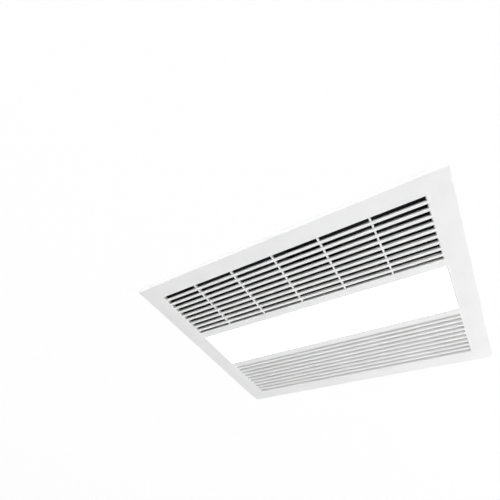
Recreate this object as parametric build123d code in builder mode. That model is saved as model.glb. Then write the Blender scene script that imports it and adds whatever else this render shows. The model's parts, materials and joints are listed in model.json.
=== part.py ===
from build123d import *
from math import cos, radians, sin, tan
import os

# Ceiling unit for a bathroom: warm-air heater, extract fan and light behind one fascia.
# Millimetres. The origin is the middle of the ceiling cut-out on the underside of the ceiling,
# +Z goes up into the ceiling void, +X runs along the fascia towards the duct outlet,
# and the extract louvres are on the -Y side of the light.

os.makedirs("parts", exist_ok=True)

# Box in the ceiling void, which the other sizes follow
housing_length = 380.0
housing_width = 310.0
housing_height = 168.0

# Fascia moulding
fascia_margin = 20.0
fascia_length = housing_length + 2 * fascia_margin
fascia_width = housing_width + 2 * fascia_margin
fascia_depth = 6.0
fascia_wall = 2.5
fascia_corner = 1.5

# Louvres, ten slots on each side of the light
slot_gap = 6.2
slot_count = 10
slot_border = 27.0
slot_length = fascia_length - 2 * slot_border
slot_strip = 12.4
slot_wall_room = 3.9
louvre_lean = 20.0
rib_count = 5
rib_pitch = 62.3
rib_thickness = 3.0
extract_rib_setback = 1.0
warm_rib_setback = 4.0
collar_wall = 1.5

# Light window, diffuser and its clips
window_over = 1.0
window_length = slot_length + 2 * window_over
window_width = 85.0
first_slot = window_width / 2 + slot_strip + slot_gap / 2
last_slot = housing_width / 2 - slot_wall_room - slot_gap / 2
slot_pitch = (last_slot - first_slot) / (slot_count - 1)
diffuser_fit = 0.3
lip_width = 3.0
lip_thickness = 1.5
clip_length = 10.0
clip_wall = 1.2
clip_nose = 0.9
clip_spacing = 120.0
clip_fit = 0.2

# Leg springs that pull the fascia up
spring_inset = 34.0
spring_place = window_length / 2 - spring_inset
spring_wire = 1.2
coil_radius = 4.6
coil_pitch = 1.75
coil_whole_turns = 1
leg_angle = 35.0
leg_length = 50.0
coil_height = 6.5
post_wall = 1.7
post_width = 8.0
post_fit = 0.8
spring_clearance = 0.3

# Sheet-metal housing, folded flange and lid
sheet = 1.0
flange_reach = 12.0
flange_length = housing_length + 2 * flange_reach
flange_width = housing_width + 2 * flange_reach
fixing_edge = 5.5
fixing_spacing_x = flange_length - 2 * fixing_edge
fixing_inset = 35.0
fixing_spacing_y = housing_width - 2 * fixing_inset
fixing_hole = 5.0
lid_fit = 0.2
lid_rim = 8.0
inner_fit = 0.1

# Light tray
tray_side = 2.5
tray_width = window_width + 2 * tray_side
tray_height = 42.0
tray_gap = 1.0
tab_height = 14.0
tab_reach = 11.0
tab_margin = 6.0

# Light boards
board_margin = 19.0
board_length = window_length - 2 * board_margin
board_width = 16.0
board_thickness = 1.6
board_offset = 22.0
led_count = 6
led_size = 3.5
led_height = 0.8

# Light driver
driver_length = 100.0
driver_width = 38.0
driver_height = 24.0
driver_end = 25.0
driver_gap = 25.0
driver_lug = 12.0

# Fan deck
deck_height = 53.0
deck_edge = 8.0

# Extract fan
fan_x = 35.0
fan_wall = 73.0
fan_y = fan_wall - housing_width / 2
impeller_radius = 49.5
blade_inner_radius = 41.0
blade_count = 24
blade_thickness = 0.9
blade_sweep = 7.0
blade_hollow = 1.0
impeller_lift = 5.0
impeller_height = 40.0
impeller_disc = 1.5
impeller_ring = 6.0
hub_radius = 9.0
hub_length = 13.0
fan_shaft_radius = 4.0
inlet_radius = 40.0
inlet_flare = 6.0
inlet_gap = 1.0

# Volute of the extract fan, four arcs about the corners of a small square
volute_step = 10.0
volute_start = 54.0
volute_wall = 1.6
volute_height = 51.0
volute_outlet = 75.0
tongue_angle = 45.0
foot_radius = 6.0
foot_thickness = 3.0
foot_lap = 1.0

# Extract fan motor
motor_radius = 34.0
motor_height = 36.0
motor_shield = 5.0
motor_collar = 12.0
mount_thickness = 2.0
mount_arm = 12.0
mount_reach = 46.0
shaft_clearance = 0.05

# Duct outlet
spigot_radius = 49.0
spigot_wall = 1.5
spigot_length = 48.0
spigot_z = 107.0
spigot_plate = 104.0
spigot_plate_thickness = 2.0
duct_wall = 1.5

# Back-draught flap
flap_gap = 1.0
flap_thickness = 1.5
flap_place = 24.0
spindle_offset = 4.0
spindle_radius = 2.0
stop_depth = 3.0
stop_width = 2.0
stop_fit = 0.3
stop_level = 14.0
bearing_reach = 0.7

# Warm-air blower
blower_wall = 57.0
blower_y = housing_width / 2 - blower_wall
blower_z = 82.0
motor_room = 50.0
duct_side_room = 70.0
blower_left = motor_room - housing_length / 2
blower_right = housing_length / 2 - duct_side_room
drum_radius = 30.0
drum_inner_radius = 24.0
drum_blades = 14
drum_blade_thickness = 0.8
drum_blade_sweep = 12.0
drum_blade_hollow = 0.8
drum_end_gap = 7.0
drum_disc = 1.5
drum_hub_radius = 9.0
drum_hub_length = 12.0
drum_shaft_radius = 3.0
bearing_half = 11.0
bearing_depth = 8.0
end_plate_low = 10.0
end_plate_high = 128.0
end_plate_lead = 38.0
end_plate_near = blower_y - end_plate_lead
end_flange = 12.0
guide_thickness = 1.2
guide_start_y = 28.0
guide_start_z = 24.0
guide_top_y = 10.0
guide_top_z = 38.0
guide_reach = 44.0
guide_bend = 34.0
guide_lap = 2.0
tongue_tip_y = 16.0
tongue_tip_z = 32.0
tongue_bend_y = 7.0
tongue_bend_z = 35.0
tongue_drop = 40.0

# Heating element
element_low = 14.0
element_height = 14.0
element_wall = 9.5
element_depth = 50.0
element_far = housing_width / 2 - element_wall
element_near = element_far - element_depth
element_end = 12.0
element_rail = 1.5
bar_width = 5.0
bar_count = 3
fin_pitch = 8.0
fin_thickness = 0.6

# Blower motor
core_gap = 12.0
core_thickness = 20.0
core_width = 60.0
core_low = 24.0
core_high = 46.0
core_left = blower_left - core_gap - core_thickness
rotor_bore = 15.0
limb = 12.0
coil_wall = 6.0
bridge_height = 10.0
bridge_thickness = 2.0
bridge_width = 16.0
bridge_post = 8.0
bridge_inset = 5.0
spacer_width = 7.0
spacer_rise = 16.0

# Wiring compartment
box_length = 84.0
box_width = 78.0
box_height = 36.0
box_wall = 7.0
box_y = box_wall + box_width / 2 - housing_width / 2
block_length = 56.0
block_width = 18.0
block_height = 15.0
pole_count = 6
gland_z = 74.0
gland_bore = 4.5
gland_body = 9.0
gland_length = 22.0
block_place = 56.0
cover_lip = 6.0

# Run capacitor
capacitor_gap = 13.0
capacitor_wall = 24.0
capacitor_y = capacitor_wall - housing_width / 2
capacitor_length = 32.0
capacitor_width = 18.0
capacitor_height = 28.0

# Thermal cut-out
cutout_radius = 8.0
cutout_height = 6.0
spade_width = 6.0
spade_thickness = 0.8
spade_length = 8.0
cutout_inset = 11.5
cutout_y = element_far - cutout_inset
cutout_z = 44.0

# Hexagon-head sheet screws
screw_head = 3.5
screw_head_height = 2.4
screw_inset_x = 60.0
screw_inset_y = 45.0

# Levels and places that follow from the sizes above
face_z = -fascia_depth
back_z = face_z + fascia_wall
inner_x = housing_length / 2 - sheet
inner_y = housing_width / 2 - sheet
deck_top = deck_height + sheet
slots_near = first_slot - slot_gap / 2
slots_far = last_slot + slot_gap / 2
impeller_low = deck_top + impeller_lift
impeller_high = impeller_low + impeller_height
volute_top = deck_top + volute_height
mount_top = volute_top + mount_thickness
half_step = volute_step / 2
volute_right = fan_x + volute_outlet
start_point = (
    fan_x + half_step + volute_start * cos(radians(tongue_angle)),
    fan_y - half_step + volute_start * sin(radians(tongue_angle)),
)
right_point = (fan_x + half_step + volute_start, fan_y - half_step)
low_point = (fan_x - half_step, fan_y - half_step - volute_start - volute_step)
left_point = (fan_x - half_step - volute_start - 2 * volute_step, fan_y + half_step)
high_point = (fan_x + half_step, fan_y + half_step + volute_start + 3 * volute_step)
outlet_high = (volute_right, high_point[1])
outlet_low = (volute_right, start_point[1])
spigot_y = (outlet_high[1] + outlet_low[1]) / 2
volute_feet = (
    (left_point[0] - foot_radius + foot_lap, left_point[1]),
    (high_point[0] + foot_radius, high_point[1] + foot_radius - foot_lap),
    (right_point[0] + foot_radius - foot_lap, right_point[1]),
)
spigot_bore = spigot_radius - spigot_wall
flap_x = housing_length / 2 + flap_place
blower_middle = (blower_left + blower_right) / 2


def polar(radius, angle):
    return (radius * cos(radians(angle)), radius * sin(radians(angle)))


def leaning(side, near, far, low, high):
    """Corners, in Y and Z, of a section that leans with the louvres."""
    def lean(z):
        return (z - face_z) * tan(radians(louvre_lean))
    return [
        (side * (near - lean(low)), low),
        (side * (far - lean(low)), low),
        (side * (far - lean(high)), high),
        (side * (near - lean(high)), high),
    ]


def blade_section(foot_radius, tip_radius, sweep, hollow, thickness):
    """Blade that curves forwards from its foot to its tip, between two like arcs."""
    foot = Vector(*polar(foot_radius, 0))
    tip = Vector(*polar(tip_radius, -sweep))
    side_on = (tip - foot).normalized().rotate(Axis.Z, 90)
    belly = (foot + tip) / 2 + side_on * hollow
    across = side_on * thickness
    with BuildSketch(mode=Mode.PRIVATE) as section:
        with BuildLine():
            ThreePointArc(foot, belly, tip)
            Line(tip, tip + across)
            ThreePointArc(tip + across, belly + across, foot + across)
            Line(foot + across, foot)
        make_face()
    return section.sketch


def save(builder, name):
    builder.part.label = name
    export_step(builder.part, "parts/" + name + ".step")


# Fascia: a shallow tray with two banks of leaning louvres and a window for the light
lip_outer_y = window_width / 2 + lip_width
post_near = lip_outer_y + post_fit
coil_near = post_near + post_wall + spring_clearance
with BuildPart() as fascia:
    with BuildSketch(Plane.XY.offset(face_z)):
        RectangleRounded(fascia_length, fascia_width, fascia_corner)
    extrude(amount=fascia_depth)
    with BuildSketch(Plane.XY.offset(back_z)):
        Rectangle(fascia_length - 2 * fascia_wall, fascia_width - 2 * fascia_wall)
    extrude(amount=fascia_depth, mode=Mode.SUBTRACT)
    for side in (-1, 1):
        with BuildSketch(Plane.YZ):
            Polygon(*leaning(side, slots_near - collar_wall, slots_far + collar_wall, face_z, 0), align=None)
        extrude(amount=slot_length / 2 + collar_wall, both=True)
        with BuildSketch(Plane.YZ):
            for row in range(slot_count):
                near = slots_near + row * slot_pitch
                Polygon(*leaning(side, near, near + slot_gap, face_z - 1, 1), align=None)
        extrude(amount=slot_length / 2, both=True, mode=Mode.SUBTRACT)
        setback = extract_rib_setback if side < 0 else warm_rib_setback
        for rib in range(rib_count):
            rib_x = rib_pitch * (rib - (rib_count - 1) / 2)
            with BuildSketch(Plane.YZ.offset(rib_x)):
                Polygon(*leaning(side, slots_near - 0.5, slots_far + 0.5, face_z + setback, 0), align=None)
            extrude(amount=rib_thickness / 2, both=True)
    with BuildSketch(Plane.XY.offset(face_z)):
        Rectangle(window_length, window_width)
    extrude(amount=fascia_depth, mode=Mode.SUBTRACT)
    # Hooks over the diffuser's lip
    clip_y = lip_outer_y + clip_fit
    clip_low = back_z + lip_thickness + clip_fit
    for side in (-1, 1):
        for place in (-clip_spacing, 0, clip_spacing):
            with BuildSketch(Plane.YZ.offset(place)):
                with BuildLine():
                    Polyline(
                        (side * clip_y, back_z),
                        (side * (clip_y + clip_wall), back_z),
                        (side * (clip_y + clip_wall), clip_low + clip_wall),
                        (side * clip_y, clip_low + clip_wall),
                        (side * (clip_y - clip_nose), clip_low),
                        (side * clip_y, clip_low),
                        close=True,
                    )
                make_face()
            extrude(amount=clip_length / 2, both=True)
    # Posts that carry the leg springs
    stub_half = (coil_radius - spring_wire / 2) * 0.62
    stub_length = (coil_whole_turns + 0.5) * coil_pitch + spring_wire
    for side in (-1, 1):
        for end in (-1, 1):
            with BuildSketch(Plane.XY.offset(back_z)):
                with Locations((end * spring_place, side * (post_near + post_wall / 2))):
                    Rectangle(post_width, post_wall)
            extrude(amount=coil_height + stub_half + 1 - back_z)
            with BuildSketch(Plane.XY.offset(coil_height - stub_half)):
                with Locations((end * spring_place, side * (post_near + post_wall + stub_length / 2))):
                    Rectangle(2 * stub_half, stub_length)
            extrude(amount=2 * stub_half)
save(fascia, "fascia")

# Opal diffuser, flush with the fascia, with a lip behind it
with BuildPart() as diffuser:
    with BuildSketch(Plane.XY.offset(face_z)):
        Rectangle(window_length - 2 * diffuser_fit, window_width - 2 * diffuser_fit)
    extrude(amount=fascia_wall)
    with BuildSketch(Plane.XY.offset(back_z)):
        Rectangle(window_length + 2 * lip_width, window_width + 2 * lip_width)
    extrude(amount=lip_thickness)
save(diffuser, "diffuser")


def leg_spring(place, side):
    """One wire: a straight leg, the coil round the post and a second straight leg."""
    turn = 180 + 2 * (90 - leg_angle) - 180 + 360 * coil_whole_turns
    steps = 4 * coil_whole_turns + 2
    first = 180 + leg_angle
    rise = coil_pitch / 360.0
    centre = Vector(place, side * (coil_near + spring_wire / 2), coil_height)

    def on_coil(angle):
        x, z = polar(coil_radius, angle)
        return centre + Vector(x, side * rise * (angle - first), z)

    start = on_coil(first)
    slope = side * coil_pitch / (2 * 3.14159265 * coil_radius)
    heading = Vector(sin(radians(leg_angle)), slope, -cos(radians(leg_angle))).normalized()
    with BuildPart(mode=Mode.PRIVATE) as spring:
        with BuildLine() as wire:
            Line(start - heading * leg_length, start)
            for step in range(steps):
                TangentArc(wire.line @ 1, on_coil(first + turn * (step + 1) / steps), tangent=wire.line % 1)
            Line(wire.line @ 1, wire.line @ 1 + (wire.line % 1) * leg_length)
        with BuildSketch(Plane(origin=wire.line @ 0, z_dir=wire.line % 0)):
            Rectangle(spring_wire * 0.85, spring_wire * 0.85)
        sweep()
    return spring.part


# Leg springs at both ends of the fascia, one each side of the light
left_springs = [leg_spring(-spring_place, side) for side in (-1, 1)]
right_springs = [leg_spring(spring_place, side) for side in (-1, 1)]
with BuildPart() as springs_left:
    add(left_springs)
save(springs_left, "springs_left")
with BuildPart() as springs_right:
    add(right_springs)
save(springs_right, "springs_right")
print("least gap between the turns of a leg spring", round(coil_pitch - spring_wire, 2))

# Flange frame under the ceiling board, welded round the lower edge of the walls
with BuildPart() as flange_frame:
    with BuildSketch(Plane.XY.offset(-sheet)):
        Rectangle(flange_length, flange_width)
        Rectangle(housing_length, housing_width, mode=Mode.SUBTRACT)
        with GridLocations(fixing_spacing_x, fixing_spacing_y, 2, 2):
            Circle(fixing_hole / 2, mode=Mode.SUBTRACT)
    extrude(amount=sheet)
save(flange_frame, "flange_frame")

# Housing: two long walls, with the end walls spot-welded between them
with BuildPart() as housing_shell:
    with BuildSketch(Plane.XY.offset(-sheet)):
        with GridLocations(0, housing_width - sheet, 1, 2):
            Rectangle(housing_length, sheet)
        with GridLocations(housing_length - sheet, 0, 2, 1):
            Rectangle(sheet, 2 * (inner_y - inner_fit))
    extrude(amount=housing_height + sheet)
    with BuildSketch(Plane.YZ.offset(inner_x - 1)):
        with Locations((spigot_y, spigot_z)):
            Circle(spigot_bore)
    extrude(amount=sheet + 2, mode=Mode.SUBTRACT)
    with BuildSketch(Plane.YZ.offset(-housing_length / 2 - 1)):
        with Locations((box_y, gland_z)):
            Circle(gland_body)
    extrude(amount=sheet + 2, mode=Mode.SUBTRACT)
save(housing_shell, "housing_shell")

# Lid with a turned-down rim outside the walls
lid_length = housing_length + 2 * (lid_fit + sheet)
lid_width = housing_width + 2 * (lid_fit + sheet)
with BuildPart() as housing_lid:
    with BuildSketch(Plane.XY.offset(housing_height - lid_rim)):
        Rectangle(lid_length, lid_width)
    extrude(amount=lid_rim + sheet)
    with BuildSketch(Plane.XY.offset(housing_height - lid_rim)):
        Rectangle(lid_length - 2 * sheet, lid_width - 2 * sheet)
    extrude(amount=lid_rim, mode=Mode.SUBTRACT)
save(housing_lid, "housing_lid")

# Light tray: an inverted channel across the housing, with slotted tabs for the leg springs
leg_start = coil_height - coil_radius * sin(radians(leg_angle))
tab_top = tab_height + sheet
slot_half = (
    coil_radius * cos(radians(leg_angle))
    + (tab_top - leg_start) * tan(radians(leg_angle))
    + spring_wire / 2 / cos(radians(leg_angle))
    + spring_clearance
)
slot_inner = coil_near - 1.0
slot_outer = coil_near + stub_length + 1.2
with BuildPart() as light_tray:
    with BuildSketch(Plane.XY.offset(tray_gap)):
        Rectangle(2 * (inner_x - inner_fit), tray_width)
    extrude(amount=tray_height - tray_gap)
    with BuildSketch(Plane.XY.offset(tray_gap)):
        Rectangle(2 * (inner_x - inner_fit - sheet), tray_width - 2 * sheet)
    extrude(amount=tray_height - tray_gap - sheet, mode=Mode.SUBTRACT)
    for side in (-1, 1):
        for end in (-1, 1):
            with BuildSketch(Plane.XY.offset(tab_height)):
                with Locations((end * spring_place, side * (tray_width + tab_reach) / 2)):
                    Rectangle(2 * (slot_half + tab_margin), tab_reach)
                with Locations((end * spring_place, side * (slot_inner + slot_outer) / 2)):
                    Rectangle(2 * slot_half, slot_outer - slot_inner, mode=Mode.SUBTRACT)
            extrude(amount=sheet)
save(light_tray, "light_tray")

# Light boards on the underside of the tray, with their light-emitting packages
with BuildPart() as led_boards:
    with BuildSketch(Plane.XY.offset(tray_height - sheet - board_thickness)):
        with GridLocations(0, 2 * board_offset, 1, 2):
            Rectangle(board_length, board_width)
    extrude(amount=board_thickness)
    with BuildSketch(Plane.XY.offset(tray_height - sheet - board_thickness - led_height)):
        with GridLocations(board_length / led_count, 2 * board_offset, led_count, 2):
            Rectangle(led_size, led_size)
    extrude(amount=led_height)
save(led_boards, "led_boards")

# Partition between the warm side and the rest, standing on the tray
with BuildPart() as partition_plate:
    with BuildSketch(Plane.XY.offset(tray_height)):
        with Locations((0, tray_width / 2 - sheet / 2)):
            Rectangle(2 * (inner_x - inner_fit), sheet)
    extrude(amount=housing_height - tray_height)
    with BuildSketch(Plane.XY.offset(tray_height)):
        with Locations((0, tray_width / 2 - sheet - deck_edge / 2)):
            Rectangle(2 * (inner_x - inner_fit), deck_edge)
    extrude(amount=sheet)
save(partition_plate, "partition_plate")

# Fan deck: the shelf over the extract plenum, with turned-down edges on the walls
fan_axis = Axis((fan_x, fan_y, 0), (0, 0, 1))
deck_near = -inner_y + inner_fit
deck_far = tray_width / 2 - sheet
deck_x = inner_x - inner_fit
with BuildPart() as fan_deck:
    with BuildSketch(Plane.XY.offset(deck_height - deck_edge)):
        with Locations((0, (deck_near + deck_far) / 2)):
            Rectangle(2 * deck_x, deck_far - deck_near)
    extrude(amount=deck_edge + sheet)
    with BuildSketch(Plane.XY.offset(deck_height - deck_edge)):
        with Locations((0, (deck_near + deck_far) / 2)):
            Rectangle(2 * (deck_x - sheet), deck_far - deck_near - 2 * sheet)
    extrude(amount=deck_edge, mode=Mode.SUBTRACT)
    with BuildSketch(Plane.XY.offset(deck_height)):
        with Locations((fan_x, fan_y)):
            Circle(inlet_radius + inlet_flare)
    extrude(amount=sheet, mode=Mode.SUBTRACT)
    # Drawn inlet that rises into the impeller
    throat_x = fan_x + inlet_radius
    with BuildSketch(Plane.XZ.offset(-fan_y)):
        with BuildLine():
            Polyline(
                (throat_x, impeller_low - inlet_gap),
                (throat_x + inlet_flare * 0.3, deck_height + inlet_flare * 0.3),
                (throat_x + inlet_flare, deck_height),
                (throat_x + inlet_flare, deck_top),
                (throat_x + inlet_flare * 0.3 + sheet * 0.7, deck_height + inlet_flare * 0.3 + sheet * 0.7),
                (throat_x + sheet, impeller_low - inlet_gap),
                close=True,
            )
        make_face()
    revolve(axis=fan_axis)
save(fan_deck, "fan_deck")

# Volute: four quarter arcs whose centres go round a small square, then a straight outlet
with BuildPart() as volute:
    with BuildSketch(Plane.XY.offset(deck_top)) as volute_plan:
        with BuildLine():
            RadiusArc(start_point, right_point, volute_start)
            RadiusArc(right_point, low_point, volute_start + volute_step)
            RadiusArc(low_point, left_point, volute_start + 2 * volute_step)
            RadiusArc(left_point, high_point, volute_start + 3 * volute_step)
            Polyline(high_point, outlet_high, outlet_low, start_point)
        make_face()
    volute_face = volute_plan.sketch
    extrude(amount=volute_height)
    with BuildSketch(Plane.XY.offset(deck_top)):
        add(offset(volute_face, -volute_wall, mode=Mode.PRIVATE))
    extrude(amount=volute_height - volute_wall, mode=Mode.SUBTRACT)
    with BuildSketch(Plane.YZ.offset(volute_right - 2 * volute_wall)):
        with Locations(((outlet_low[1] + outlet_high[1]) / 2, deck_top + (volute_height - volute_wall) / 2)):
            Rectangle(outlet_high[1] - outlet_low[1] - 2 * volute_wall, volute_height - volute_wall)
    extrude(amount=3 * volute_wall, mode=Mode.SUBTRACT)
    with BuildSketch(Plane.XY.offset(volute_top - volute_wall)):
        with Locations((fan_x, fan_y)):
            Circle(motor_collar)
    extrude(amount=volute_wall, mode=Mode.SUBTRACT)
    # Feet on the deck
    for foot_x, foot_y in volute_feet:
        with BuildSketch(Plane.XY.offset(deck_top)):
            with Locations((foot_x, foot_y)):
                Rectangle(2 * foot_radius, 2 * foot_radius)
        extrude(amount=foot_thickness)
save(volute, "volute")


# Extract impeller: forward-curved blades between a back disc and an inlet ring
impeller_blade = blade_section(
    blade_inner_radius, impeller_radius - blade_thickness, blade_sweep, blade_hollow, blade_thickness
)
with BuildPart() as impeller:
    with BuildSketch(Plane.XY.offset(impeller_low)):
        with Locations((fan_x, fan_y)):
            Circle(impeller_radius)
            Circle(impeller_radius - impeller_ring, mode=Mode.SUBTRACT)
    extrude(amount=impeller_disc)
    with BuildSketch(Plane.XY.offset(impeller_high - impeller_disc)):
        with Locations((fan_x, fan_y)):
            Circle(impeller_radius)
    extrude(amount=impeller_disc)
    with BuildSketch(Plane.XY.offset(impeller_low + impeller_disc)):
        with Locations((fan_x, fan_y)):
            with PolarLocations(0, blade_count):
                add(impeller_blade)
    extrude(amount=impeller_height - 2 * impeller_disc)
    with BuildSketch(Plane.XY.offset(impeller_high)):
        with Locations((fan_x, fan_y)):
            Circle(hub_radius)
    extrude(amount=-hub_length)
    with BuildSketch(Plane.XY.offset(impeller_high)):
        with Locations((fan_x, fan_y)):
            Circle(fan_shaft_radius)
    extrude(amount=-hub_length, mode=Mode.SUBTRACT)
save(impeller, "impeller")

# Impeller shaft, from the nut below the hub up into the motor
nut_height = 5.0
shaft_low = impeller_high - hub_length - nut_height - 2
with BuildPart() as fan_shaft:
    with BuildSketch(Plane.XY.offset(shaft_low)):
        with Locations((fan_x, fan_y)):
            Circle(fan_shaft_radius)
    extrude(amount=mount_top + motor_height / 2 - shaft_low)
save(fan_shaft, "fan_shaft")

with BuildPart() as impeller_nut:
    with BuildSketch(Plane.XY.offset(impeller_high - hub_length - nut_height)):
        with Locations((fan_x, fan_y)):
            RegularPolygon(fan_shaft_radius * 1.9, 6)
            Circle(fan_shaft_radius, mode=Mode.SUBTRACT)
    extrude(amount=nut_height)
save(impeller_nut, "impeller_nut")

# Three-armed mount on the volute and the motor on it
with BuildPart() as motor_mount:
    with BuildSketch(Plane.XY.offset(volute_top)):
        with Locations((fan_x, fan_y)):
            Circle(motor_radius - 2)
            with PolarLocations(mount_reach / 2, 3, start_angle=90):
                Rectangle(mount_reach, mount_arm)
            Circle(motor_collar, mode=Mode.SUBTRACT)
    extrude(amount=mount_thickness)
save(motor_mount, "motor_mount")

with BuildPart() as fan_motor:
    with BuildSketch(Plane.XZ.offset(-fan_y)):
        with BuildLine():
            Polyline(
                (fan_x, mount_top),
                (fan_x + motor_radius - motor_shield, mount_top),
                (fan_x + motor_radius, mount_top + motor_shield),
                (fan_x + motor_radius, mount_top + motor_height - motor_shield),
                (fan_x + motor_radius - motor_shield, mount_top + motor_height),
                (fan_x, mount_top + motor_height),
                close=True,
            )
        make_face()
    revolve(axis=fan_axis)
    with BuildSketch(Plane.XY.offset(mount_top)):
        with Locations((fan_x, fan_y)):
            Circle(fan_shaft_radius + shaft_clearance)
    extrude(amount=motor_height / 2 + 1, mode=Mode.SUBTRACT)
save(fan_motor, "fan_motor")


def duct_loft(grow):
    """Solid between the oblong mouth of the volute and the round hole in the wall."""
    mouth_z = deck_top + (volute_height - volute_wall) / 2
    with BuildPart(mode=Mode.PRIVATE) as duct:
        with BuildSketch(Plane.YZ.offset(volute_right)):
            with Locations((spigot_y, mouth_z)):
                Rectangle(
                    outlet_high[1] - outlet_low[1] - 2 * volute_wall + 2 * grow,
                    volute_height - volute_wall - 2 * duct_wall + 2 * grow,
                )
        with BuildSketch(Plane.YZ.offset(inner_x)):
            with BuildLine():
                for quarter in range(4):
                    CenterArc((spigot_y, spigot_z), spigot_bore + grow, 45 + 90 * quarter, 90)
            make_face()
        loft(ruled=True)
    return duct.part


# Duct piece from the volute's oblong outlet to the round spigot
duct_outside = duct_loft(duct_wall)
duct_inside = duct_loft(0)
with BuildPart() as outlet_duct:
    add(duct_outside)
    add(duct_inside, mode=Mode.SUBTRACT)
save(outlet_duct, "outlet_duct")

# Spigot for the duct, with the seats of the back-draught flap
spigot_start = housing_length / 2 + spigot_plate_thickness
spindle_z = spigot_z + spindle_offset
with BuildPart() as duct_spigot:
    with BuildSketch(Plane.YZ.offset(housing_length / 2)):
        with Locations((spigot_y, spigot_z)):
            Rectangle(spigot_plate, spigot_plate)
    extrude(amount=spigot_plate_thickness)
    with BuildSketch(Plane.YZ.offset(spigot_start)):
        with Locations((spigot_y, spigot_z)):
            Circle(spigot_radius)
    extrude(amount=spigot_length)
    with BuildSketch(Plane.YZ.offset(housing_length / 2)):
        with Locations((spigot_y, spigot_z)):
            Circle(spigot_bore)
    extrude(amount=spigot_plate_thickness + spigot_length, mode=Mode.SUBTRACT)
    with BuildSketch(Plane.YZ.offset(flap_x - flap_thickness / 2 - stop_fit)):
        with Locations((spigot_y, spigot_z)):
            Circle(spigot_bore + spigot_wall / 2)
            Circle(spigot_bore - stop_depth, mode=Mode.SUBTRACT)
        with Locations((spigot_y, spigot_z + spigot_bore - stop_level)):
            Rectangle(3 * spigot_bore, 2 * spigot_bore, mode=Mode.SUBTRACT)
    extrude(amount=-stop_width)
    with BuildSketch(Plane.XZ.offset(-spigot_y)):
        with Locations((flap_x, spindle_z)):
            Circle(spindle_radius + shaft_clearance)
    extrude(amount=2 * spigot_radius, both=True, mode=Mode.SUBTRACT)
save(duct_spigot, "duct_spigot")

# Back-draught flap with its spindle, hung a little above the middle so that it falls shut
with BuildPart() as damper_flap:
    with BuildSketch(Plane.YZ.offset(flap_x - flap_thickness / 2)):
        with Locations((spigot_y, spigot_z)):
            Circle(spigot_bore - flap_gap)
    extrude(amount=flap_thickness)
    with BuildSketch(Plane.XZ.offset(-spigot_y)):
        with Locations((flap_x, spindle_z)):
            Circle(spindle_radius)
    extrude(amount=spigot_bore + bearing_reach, both=True)
save(damper_flap, "damper_flap")

# Warm-air blower casing: the guide wall round the drum and the tongue below it
plate_inner_left = blower_left + sheet
plate_inner_right = blower_right
casing_length = plate_inner_right - plate_inner_left
with BuildPart() as guide_wall:
    with BuildSketch(Plane.YZ.offset(plate_inner_left)):
        with BuildLine() as guide_line:
            ThreePointArc(
                (blower_y - guide_start_y, blower_z + guide_start_z),
                (blower_y + guide_top_y, blower_z + guide_top_z),
                (blower_y + guide_reach, blower_z),
            )
            Line(guide_line.line @ 1, (element_far + guide_thickness, blower_z - guide_bend))
            Line(guide_line.line @ 1, (element_far + guide_thickness, element_low - guide_lap))
        trace(line_width=guide_thickness)
    extrude(amount=casing_length)
save(guide_wall, "guide_wall")

with BuildPart() as tongue:
    with BuildSketch(Plane.YZ.offset(plate_inner_left)):
        with BuildLine():
            Polyline(
                (blower_y - tongue_tip_y, blower_z - tongue_tip_z),
                (blower_y - tongue_bend_y, blower_z - tongue_bend_z),
                (element_near - guide_thickness, blower_z - tongue_drop),
                (element_near - guide_thickness, element_low - guide_lap),
            )
        trace(line_width=guide_thickness)
    extrude(amount=casing_length)
save(tongue, "tongue")

# End plates of the blower, each with a flange on the housing wall
end_far = inner_y - inner_fit
end_plate_cut_y = 25.0
end_plate_cut_z = 20.0


def end_plate(place, flange_from, hole):
    with BuildPart(mode=Mode.PRIVATE) as plate:
        with BuildSketch(Plane.YZ.offset(place)):
            with BuildLine():
                Polyline(
                    (end_plate_near + end_plate_cut_y, end_plate_low),
                    (end_far, end_plate_low),
                    (end_far, end_plate_high),
                    (end_plate_near, end_plate_high),
                    (end_plate_near, blower_z - end_plate_cut_z),
                    close=True,
                )
            make_face()
            with Locations((blower_y, blower_z)):
                Circle(hole, mode=Mode.SUBTRACT)
        extrude(amount=sheet)
        with BuildSketch(Plane.YZ.offset(flange_from)):
            with Locations((end_far - sheet / 2, (end_plate_low + end_plate_high) / 2)):
                Rectangle(sheet, end_plate_high - end_plate_low)
        extrude(amount=end_flange)
    return plate.part


left_plate = end_plate(blower_left, blower_left + sheet - end_flange, drum_hub_radius)
right_plate = end_plate(blower_right, blower_right, drum_shaft_radius + 2)
with BuildPart() as end_plates:
    add(left_plate)
    add(right_plate)
save(end_plates, "end_plates")

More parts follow.
